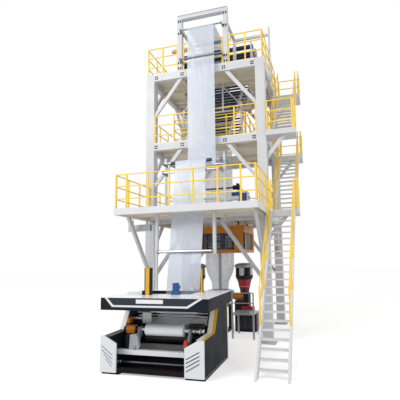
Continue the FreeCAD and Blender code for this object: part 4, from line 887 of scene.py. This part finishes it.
@dataclass
class GuideRollers:
    """Rollers that carry the flattened film over level 1 and out to the winder."""

    place: Flat = (-3220.0, 6060.0)
    journal: float = 1025.0

    def build(self) -> None:
        """Makes the blue guide roller with its dark ends on the roller's own body."""
        y, z = self.place
        body = "upper_guide_roller_body"
        tube = Shell().drum(Axis.X, (y, z), (-560, 560), 60, 40, 3)
        publish("guide_roller_tube", tube, ROLLER_BLUE, "roller_blue", body, ["upper_guide_roller"])
        ends = Shell()
        pins = Shell()
        for s in (-1, 1):
            ends.drum(Axis.X, (y, z), tuple(sorted((s * 560, s * 720))), 58, 36, 6)
            pins.drum(Axis.X, (y, z), tuple(sorted((s * 720, s * self.journal))), 16, 20, 2)
        publish("guide_roller_ends", ends, ROLLER_DARK_SHADED, "black_paint", body)
        publish("guide_roller_pins", pins, STEEL, "machined_steel", body)


@dataclass
class Extruders:
    """Dosing hoppers, heater bands, gear flanges and motor fins of the two extruders."""

    x: float = 1000.0
    barrel_z: float = 1315.0

    def build(self) -> None:
        """Makes both sides."""
        for side, label in ((-1, "left"), (1, "right")):
            self._hopper(side * self.x, label, ["extruder_hoppers"] if side > 0 else [])
            self._drive(side, label)

    @staticmethod
    def _turned(x: float, outline: Sequence[Flat], sides: int = 40) -> Shell:
        """A body of revolution about the hopper's upright axis, from (height, radius) points."""
        return Shell().turned(Axis.Z, (x * MM, 0.0, 0.0), [(z * MM, r * MM) for z, r in outline], sides)

    def _hopper(self, x: float, label: str, replaces: list[str]) -> None:
        """One dosing unit: throat, funnel, ring, six metering pots and the dome."""
        funnel = self._turned(x, [(1740, 10), (1740, 226), (1990, 292), (1990, 10)])
        publish(f"funnel_{label}", funnel, SIGNAL_RED, "red_paint", replaces=replaces)
        band = self._turned(x, [(1690, 10), (1690, 232), (1740, 236), (1740, 10)])
        publish(f"funnel_band_{label}", band, SIGHT_RED_BACKLIT, "red_paint")
        # The throat under the funnel takes the funnel's red, painted darker as shade
        throat = self._turned(x, [(1455, 10), (1455, 150), (1475, 176), (1600, 190), (1690, 214), (1690, 10)])
        publish(f"throat_{label}", throat, FUNNEL_RED_SHADED, "red_paint")
        ring = self._turned(x, [(1990, 10), (1990, 296), (2010, 325), (2125, 352), (2140, 352), (2140, 10)])
        publish(f"hopper_ring_{label}", ring, MACHINE_BLACK, "black_paint")
        pots = Shell()
        lids = Shell()
        for k in range(6):
            turn = math.pi / 3 * k + 0.3
            cx, cy = x + 238 * math.cos(turn), 238 * math.sin(turn)
            (pots if k % 2 else lids).drum(Axis.Z, (cx, cy), (2140, 2440), 100, 24, 6)
        lids.drum(Axis.Z, (x, 0), (2140, 2470), 120, 24, 6)
        publish(f"metering_pots_{label}", pots, MACHINE_BLACK, "black_paint")
        publish(f"metering_tubes_{label}", lids, PALE_STEEL, "light_grey_paint")
        dome = self._turned(x, [(2450, 10), (2450, 372), (2470, 383), (2520, 383), (2560, 362), (2600, 300),
                                (2622, 200), (2630, 90), (2630, 10)])
        publish(f"hopper_dome_{label}", dome, DOME_GREY, "light_grey_paint")

    def _drive(self, side: int, label: str) -> None:
        """Flanges on the barrel, fins on the motor, and panels on the base that carry a painted blue glint.
        """
        flanges = Shell()
        for x in (605, 720, 835, 950):
            a, b = sorted((side * x, side * (x + 26)))
            flanges.drum(Axis.X, (0, self.barrel_z), (a, b), 158, 36, 4)
        publish(f"barrel_flanges_{label}", flanges, MOTOR_ORANGE, "orange_paint")
        y, z = -343.0, 873.0
        fins = [(side * (1000 + 34 * k) * MM, y * MM, z * MM) for k in range(12)]
        RibSet(f"motor_fins_{label}", (7.0, 236.0, 150.0)).build(fins, SIGNAL_RED, "red_paint")
        panel = Shell()
        for x in (700, 950, 1200):
            a, b = sorted((side * x, side * (x + 220)))
            panel.box((a, b), (-236, -230), (90, 620))
        publish(f"base_panels_{label}", panel, BASE_PAINTED_GLINT, "black_paint", bevel_mm=2)


@dataclass
class SizingCage:
    """Corner posts and crossed arms of the cage."""

    half_x: float = 1250.0
    half_y: float = 900.0

    def build(self) -> None:
        """Makes the black corner strips and the guide arms."""
        strips = Shell()
        for sx in (-1, 1):
            for sy in (-1, 1):
                xa, xb = sorted((sx * (self.half_x - 46), sx * (self.half_x + 4)))
                ya, yb = sorted((sy * (self.half_y - 60), sy * (self.half_y + 4)))
                strips.box((xa, xb), (ya, yb), (3160, 3790))
        publish("cage_corner_strips", strips, MACHINE_BLACK, "black_paint", bevel_mm=3)
        # The crossed arms inside the cage are dark, partly their own blue-black and partly painted shade
        arms = Shell()
        for k in range(36):
            turn = math.tau * k / 36
            x, y = 0.645 * math.cos(turn), 0.645 * math.sin(turn)
            arms.bar((x, y, 3.17), (x, y, 3.78), 0.018, 0.030)
        for k in range(5):
            hoop = [(0.66 * math.cos(math.tau * n / 48), 0.66 * math.sin(math.tau * n / 48), 3.22 + 0.13 * k)
                    for n in range(49)]
            arms.tube_along(hoop, 0.013, 8)
        publish("basket_arms", arms, CAGE_SHADE_DARK, "dark_blue_grey")
        # Dark sheets inside the cage's sides, which stand for the dark inside of the cage as painted shade
        sides = Shell()
        for sx in (-1, 1):
            a, b = sorted((sx * 1196, sx * 1202))
            sides.box((a, b), (-480, 480), (3160, 3790))
        publish("cage_side_shade_sheets", sides, CAGE_SHADE_DARK, "dark_blue_grey")
        # The drive boxes take the same black with its painted blue glint
        core = Shell().box((-430, -300), (-760, -690), (3200, 3760))
        core.box((300, 430), (-760, -690), (3200, 3760))
        core.box((-300, 300), (-750, -700), (3440, 3520))
        publish("basket_drive_boxes", core, BASE_PAINTED_GLINT, "dark_blue_grey", bevel_mm=6)
        wheels = Shell()
        for sx in (-1, 1):
            for z in (3300, 3480, 3660):
                wheels.drum(Axis.Y, (sx * 700, z), (-890, -660), 34, 20)
        publish("cage_adjusters", wheels, CAST_GREY, "light_grey_paint")


@dataclass
class WinderShell:
    """Painted housing of the winder: hood skins, chevron, trims and louvres."""

    hood_x: Flat = (-1490.0, 1446.0)
    hood_y: Flat = (-5920.0, -3811.0)
    hood_top: float = 1885.0
    open_x: Flat = (-1000.0, 620.0)
    open_y: Flat = (-4940.0, -3960.0)
    skin: float = 4.0
    cheek_front: float = -5880.0
    step: Flat = (-5067.0, 925.0)
    rise: Flat = (-4700.0, 1575.0)

    def build(self) -> None:
        """Makes the housing's trims."""
        self._top()
        self._chevron()
        self._cheek_trims()
        self._louvres()

    def _top(self) -> None:
        """White skins on top of the hood, round its opening."""
        z = (self.hood_top, self.hood_top + self.skin)
        x0, x1 = self.hood_x
        y0, y1 = self.hood_y
        skins = Shell().box((x0, x1), (y0, self.open_y[0]), z).box((x0, x1), (self.open_y[1], y1), z)
        skins.box((x0, self.open_x[0]), self.open_y, z).box((self.open_x[1], x1), self.open_y, z)
        publish("hood_top_skins", skins, SKIN_WHITE_LIT, "white_paint")

    def _chevron(self) -> None:
        """Silver chevron, the panel it frames, painted dark as the shade in its recess, and the bare plaque.
        """
        y = self.hood_y[0]
        band = [(-1372, 1885), (-1152, 1655), (918, 1655), (1300, 1885), (1206, 1885), (886, 1702),
                (-1112, 1702), (-1296, 1885)]
        chevron = Shell().plate(Axis.Y, band, (y - 12, y))
        publish("hood_chevron", chevron, CABINET_WHITE, "white_paint", bevel_mm=2)
        inset = [(-1292, 1881), (-1110, 1706), (884, 1706), (1198, 1881)]
        publish("hood_inset", Shell().plate(Axis.Y, inset, (y - 3, y)), RECESS_SHADE_BLUE, "dark_blue_grey")
        plaque = Shell().box((-474, 267), (y - 10, y - 3), (1752, 1850))
        publish("hood_plaque", plaque, PLAQUE_WHITE, "white_paint", bevel_mm=2)

    def _cheek_trims(self) -> None:
        """Cream and gold strips along the front edges of the cheeks, and at the right cheek's rear."""
        t = 8.0
        sill = self.step[1] - 10
        path = [(self.cheek_front, sill), self.step, (self.rise[0] + 2, self.rise[1])]
        outer = [(self.rise[0] - t - 2, self.rise[1]), (self.step[0] - 5, self.step[1] + t),
                 (self.cheek_front, sill + t)]
        outline = path + outer
        gold = Shell().plate(Axis.X, outline, (1236, 1320))
        publish("gold_edge", gold, TRIM_GOLD, "safety_yellow", bevel_mm=2)
        slope = [self.step, (self.rise[0] + 2, self.rise[1]), (self.rise[0] - t - 2, self.rise[1]),
                 (self.step[0] - t, self.step[1] + 4)]
        cream = Shell().plate(Axis.X, outline, (1112, 1236)).plate(Axis.X, slope, (-1446, -1290))
        publish("cream_edge", cream, TRIM_CREAM, "white_paint", bevel_mm=2)
        line = Shell().box((1320, 1324), (-4690, self.hood_y[1]), (1545, 1561))
        line.box((1320, 1324), (self.hood_y[1] - 56, self.hood_y[1] - 26), (60, 1545))
        publish("gold_line", line, TRIM_GOLD, "safety_yellow")
        back = Shell().box((1320, 1325), (self.hood_y[1] - 26, self.hood_y[1]), (60, 1575))
        publish("cream_back_edge", back, TRIM_CREAM, "white_paint")
        kick = Shell().box((1320, 1324), (self.cheek_front, self.hood_y[1]), (50, 62))
        publish("cheek_kick_strip", kick, PALE_STEEL, "light_grey_paint")

    def _louvres(self) -> None:
        """Slanting louvres of the two front covers: a slit painted dark as the shade in it, under a pressed
        lip.
        """
        left = [(-1432, 695, -1138, 483), (-1420, 595, -1135, 386), (-1362, 489, -1133, 295),
                (-1311, 384, -1131, 199)]
        right = [(859, 473, 1203, 658), (859, 388, 1202, 568), (858, 292, 1202, 483), (858, 197, 1201, 393)]
        y = self.hood_y[0]
        slits = Shell()
        lips = Shell()
        for xa, za, xb, zb in left + right:
            slits.plate(Axis.Y, [(xa, za - 13), (xb, zb - 13), (xb, zb + 13), (xa, za + 13)], (y - 2, y))
            lips.plate(Axis.Y, [(xa, za + 13), (xb, zb + 13), (xb, zb + 23), (xa, za + 23)], (y - 12, y))
        publish("louvre_slits", slits, RECESS_SHADE_BLUE, "dark_blue_grey")
        publish("louvre_lips", lips, CABINET_WHITE, "white_paint")


@dataclass
class WinderWorks:
    """What shows between the cheeks, and what stands on the hood."""

    roll_y: float = -5200.0
    roll_z: float = 985.0
    top: float = 1885.0

    def build(self) -> None:
        """Makes the works and the hood's posts."""
        tray = Shell().box((-1206, 1080), (-5780, -3851), (50, 58))
        publish("winder_floor_pan", tray, INNER_BROWN, "black_paint")
        self._idlers()
        self._drives()
        self._castings()
        self._clamps()
        self._hood_posts()

    def _castings(self) -> None:
        """Grey cast bracket at the left, the red handle and the plate behind."""
        cast = [(-905, 530), (-880, 890), (-720, 915), (-660, 840), (-610, 600), (-640, 530)]
        bracket = Shell().plate(Axis.Y, cast, (-5500, -5390))
        publish("roll_bracket", bracket, CAST_PALE, "light_grey_paint", bevel_mm=8)
        dark = Shell().box((-1000, -915), (-5500, -5400), (530, 880))
        publish("bracket_actuator", dark, MACHINE_BLACK, "black_paint", bevel_mm=6)
        handle = [(626, 623), (640, 760), (687, 842), (724, 800), (762, 669), (740, 623)]
        red = Shell().plate(Axis.Y, handle, (-5535, -5470))
        publish("red_handle", red, HANDLE_RED, "red_paint", bevel_mm=10)
        stem = Shell().box((670, 710), (-5520, -5480), (530, 623))
        publish("red_handle_stem", stem, MACHINE_BLACK, "black_paint")
        plate = Shell().box((-868, -590), (-4850, -4800), (1070, 1364))
        plate.box((-1206, -868), (-4850, -4800), (1180, 1240))
        publish("tension_plate", plate, PALE_STEEL, "machined_steel", bevel_mm=6)

    def _idlers(self) -> None:
        """Idlers between the cheeks: bright ones under the hood, a dark one with collars at the front."""
        bright = Shell()
        for y, z, r in ((-4130, 1440, 45), (-4600, 1250, 35), (-4640, 1345, 24)):
            bright.drum(Axis.X, (y, z), (-1206, 1080), r, 28)
        publish("upper_idlers", bright, CHROME, "chrome", replaces=["winder_idlers"])
        front = Shell().drum(Axis.X, (-5600, 235), (-1206, 1080), 25, 24)
        front.drum(Axis.X, (-5600, 235), (-1060, 940), 34, 24)
        publish("front_spreader_roller", front, ROLLER_DARK_SHADED, "dark_blue_grey")
        collars = Shell()
        for x in (-1150, -1080, 955, 1025):
            collars.drum(Axis.X, (-5600, 235), (x, x + 22), 42, 24)
        publish("spreader_collars", collars, STEEL, "machined_steel")

    def _drives(self) -> None:
        """Winding motor at the left of the roll and the two swing motors behind."""
        cap = Shell().drum(Axis.X, (self.roll_y, self.roll_z), (-1116, -850), 105, 32, 12)
        cap.box((-1100, -870), (self.roll_y - 98, self.roll_y + 98), (self.roll_z - 98, self.roll_z + 98))
        cap.box((-1206, -1130), (-5080, -4900), (1100, 1258)).box((985, 1080), (-4690, -4510), (1016, 1198))
        publish("winding_motors", cap, MOTOR_ORANGE, "orange_paint", replaces=["winder_drives"], bevel_mm=12)
        neck = Shell().drum(Axis.X, (self.roll_y, self.roll_z), (-1206, -1116), 66, 28)
        neck.drum(Axis.X, (self.roll_y, self.roll_z), (-850, -780), 80, 28)
        publish("winding_motor_necks", neck, MACHINE_BLACK, "black_paint")

    def _clamps(self) -> None:
        """Chuck, cylinders and valve block at the right end of the roll."""
        chuck = Shell().drum(Axis.X, (self.roll_y, self.roll_z), (782, 1080), 40, 28, 4)
        for x, r in ((800, 74), (880, 58), (950, 82), (1030, 62)):
            chuck.drum(Axis.X, (self.roll_y, self.roll_z), (x, x + 46), r, 28, 5)
        publish("roll_chuck", chuck, STEEL, "machined_steel")
        block = Shell().box((664, 1080), (-5230, -5110), (1078, 1164))
        for x in (720, 800, 880, 960):
            block.box((x, x + 50), (-5262, -5230), (1094, 1150))
        publish("valve_block", block, MACHINE_BLACK, "black_paint", bevel_mm=5)
        pipes = Shell()
        for k in range(4):
            x = 745 + 80 * k
            path = [(x * MM, -5.26, 1.10), (x * MM, -5.30, 1.06), ((x + 30) * MM, -5.29, 1.00)]
            pipes.tube_along(path, 0.009, 8)
        publish("valve_hoses", pipes, MACHINE_BLACK, "black_paint")

    def _hood_posts(self) -> None:
        """Gold post, blue motor, gold bar and the small items on the hood."""
        z = self.top
        gold = Shell().box((-568, -448), (-5264, -5114), (z, 2610))
        publish("hood_post", gold, TRIM_GOLD, "safety_yellow", replaces=["hood_equipment"], bevel_mm=4)
        black = Shell().box((-592, -568), (-5268, -5110), (z, 2614))
        black.box((-448, -424), (-5268, -5110), (z, 2614))
        black.box((770, 786), (-4411, -4355), (z, 2560)).box((-700, -640), (-5200, -5140), (z, 2000))
        publish("hood_post_edges", black, MACHINE_BLACK, "black_paint", bevel_mm=2)
        bar = Shell().box((715, 770), (-4411, -4355), (z, 2555))
        publish("hood_bar", bar, TRIM_GOLD, "safety_yellow")
        motor = Shell().drum(Axis.Z, (225, -5040), (1990, 2200), 92, 32, 10)
        motor.box((120, 330), (-5130, -4950), (z, 2000)).box((290, 345), (-5090, -4990), (2040, 2130))
        publish("spreader_motor", motor, MOTOR_BLUE, "roller_blue", bevel_mm=6)
        rim = Shell().box((-1273, -767), (-4985, -4950), (z + 4, z + 60))
        publish("hood_rim_bar", rim, CABINET_WHITE, "white_paint", bevel_mm=6)


@dataclass
class Studio:
    """Pale floor, soft light and the camera."""

    eye: Point = (4.1723, -14.1750, 2.8611)
    yaw_deg: float = 15.716
    pitch_deg: float = 7.049
    roll_deg: float = -1.017
    lens_mm: float = 32.28
    shift: Flat = (-0.0587, 0.0326)
    floor_half: float = 60.0

    def build(self) -> None:
        """Makes the floor, the world, the lamps and the camera."""
        scene = bpy.context.scene
        scene.view_settings.view_transform = "Standard"
        self._floor()
        self._world(scene)
        self._lamp("key_light", (-9.0, -16.0, 15.0), 9.0, 1500.0)
        self._lamp("fill_light", (14.0, -12.0, 9.0), 9.0, 500.0)
        self._camera(scene)

    def _floor(self) -> None:
        """A plain white floor that keeps the object's shadow."""
        half = self.floor_half
        mesh = bpy.data.meshes.new("studio_floor")
        corners = [(-half, -half, -0.001), (half, -half, -0.001), (half, half, -0.001), (-half, half, -0.001)]
        mesh.from_pydata(corners, [], [(0, 1, 2, 3)])
        floor = bpy.data.objects.new("studio_floor", mesh)
        bpy.context.scene.collection.objects.link(floor)
        paint = bpy.data.materials.new("studio_floor_white")
        paint.use_nodes = True
        tree = paint.node_tree
        tree.nodes.clear()
        ray = add_node(tree, "ShaderNodeLightPath")
        matt = add_node(tree, "ShaderNodeBsdfDiffuse", {"Color": linear("#F4F4F4")})
        glow = add_node(tree, "ShaderNodeEmission", {"Color": (1, 1, 1, 1), "Strength": 0.42})
        both = add_node(tree, "ShaderNodeAddShader", {0: matt.outputs[0], 1: glow.outputs[0]})
        pick = add_node(tree, "ShaderNodeMixShader", {
            0: ray.outputs["Is Camera Ray"], 1: matt.outputs[0], 2: both.outputs[0]})
        add_node(tree, "ShaderNodeOutputMaterial", {"Surface": pick.outputs[0]})
        mesh.materials.append(paint)

    @staticmethod
    def _world(scene: bpy.types.Scene) -> None:
        """White to the camera and to mirrors, softer to the object."""
        world = bpy.data.worlds.new("studio_world")
        world.use_nodes = True
        scene.world = world
        tree = world.node_tree
        tree.nodes.clear()
        ray = add_node(tree, "ShaderNodeLightPath")
        seen = add_node(tree, "ShaderNodeMath", {
            0: ray.outputs["Is Camera Ray"], 1: ray.outputs["Is Glossy Ray"]}, operation="MAXIMUM")
        clear = add_node(tree, "ShaderNodeMath", {
            0: seen.outputs[0], 1: ray.outputs["Is Transmission Ray"]}, operation="MAXIMUM")
        soft = add_node(tree, "ShaderNodeBackground", {"Color": (1, 1, 1, 1), "Strength": 0.62})
        white = add_node(tree, "ShaderNodeBackground", {"Color": (1, 1, 1, 1), "Strength": 1.0})
        pick = add_node(tree, "ShaderNodeMixShader", {
            0: clear.outputs[0], 1: soft.outputs[0], 2: white.outputs[0]})
        add_node(tree, "ShaderNodeOutputWorld", {"Surface": pick.outputs[0]})

    @staticmethod
    def _lamp(name: str, place: Point, size: float, power: float) -> None:
        """A square soft lamp aimed at the middle of the tower."""
        lamp = bpy.data.lights.new(name, "AREA")
        lamp.size = size
        lamp.energy = power
        holder = bpy.data.objects.new(name, lamp)
        holder.location = place
        holder.rotation_euler = (Vector((0, -1.5, 5.0)) - Vector(place)).to_track_quat("-Z", "Y").to_euler()
        bpy.context.scene.collection.objects.link(holder)

    def _camera(self, scene: bpy.types.Scene) -> None:
        """The camera at the photograph's angle."""
        yaw, pitch, roll = (math.radians(a) for a in (self.yaw_deg, self.pitch_deg, self.roll_deg))
        ahead = Vector((-math.sin(yaw) * math.cos(pitch), math.cos(yaw) * math.cos(pitch), math.sin(pitch)))
        right = Vector((math.cos(yaw), math.sin(yaw), 0))
        above = right.cross(ahead)
        right_rolled = right * math.cos(roll) + above * math.sin(roll)
        above_rolled = above * math.cos(roll) - right * math.sin(roll)
        lens = bpy.data.cameras.new("photo_camera")
        lens.lens = self.lens_mm
        lens.sensor_width = 36.0
        lens.sensor_fit = "HORIZONTAL"
        lens.shift_x, lens.shift_y = self.shift
        lens.clip_end = 200.0
        camera = bpy.data.objects.new("photo_camera", lens)
        turn = Matrix((right_rolled, above_rolled, -ahead)).transposed().to_4x4()
        camera.matrix_world = Matrix.Translation(self.eye) @ turn
        scene.collection.objects.link(camera)
        scene.camera = camera


def main() -> None:
    """Builds the looks in order."""
    logging.basicConfig(level=logging.INFO, format="%(message)s")
    dress_nodes()
    for part in (Tower(), Gantry(), HaulOff(), Collapser(), BubbleGuide(), GuideRollers(), Extruders(),
                 SizingCage(), WinderShell(), WinderWorks()):
        part.build()
    Studio().build()


if __name__ == "__main__":
    main()
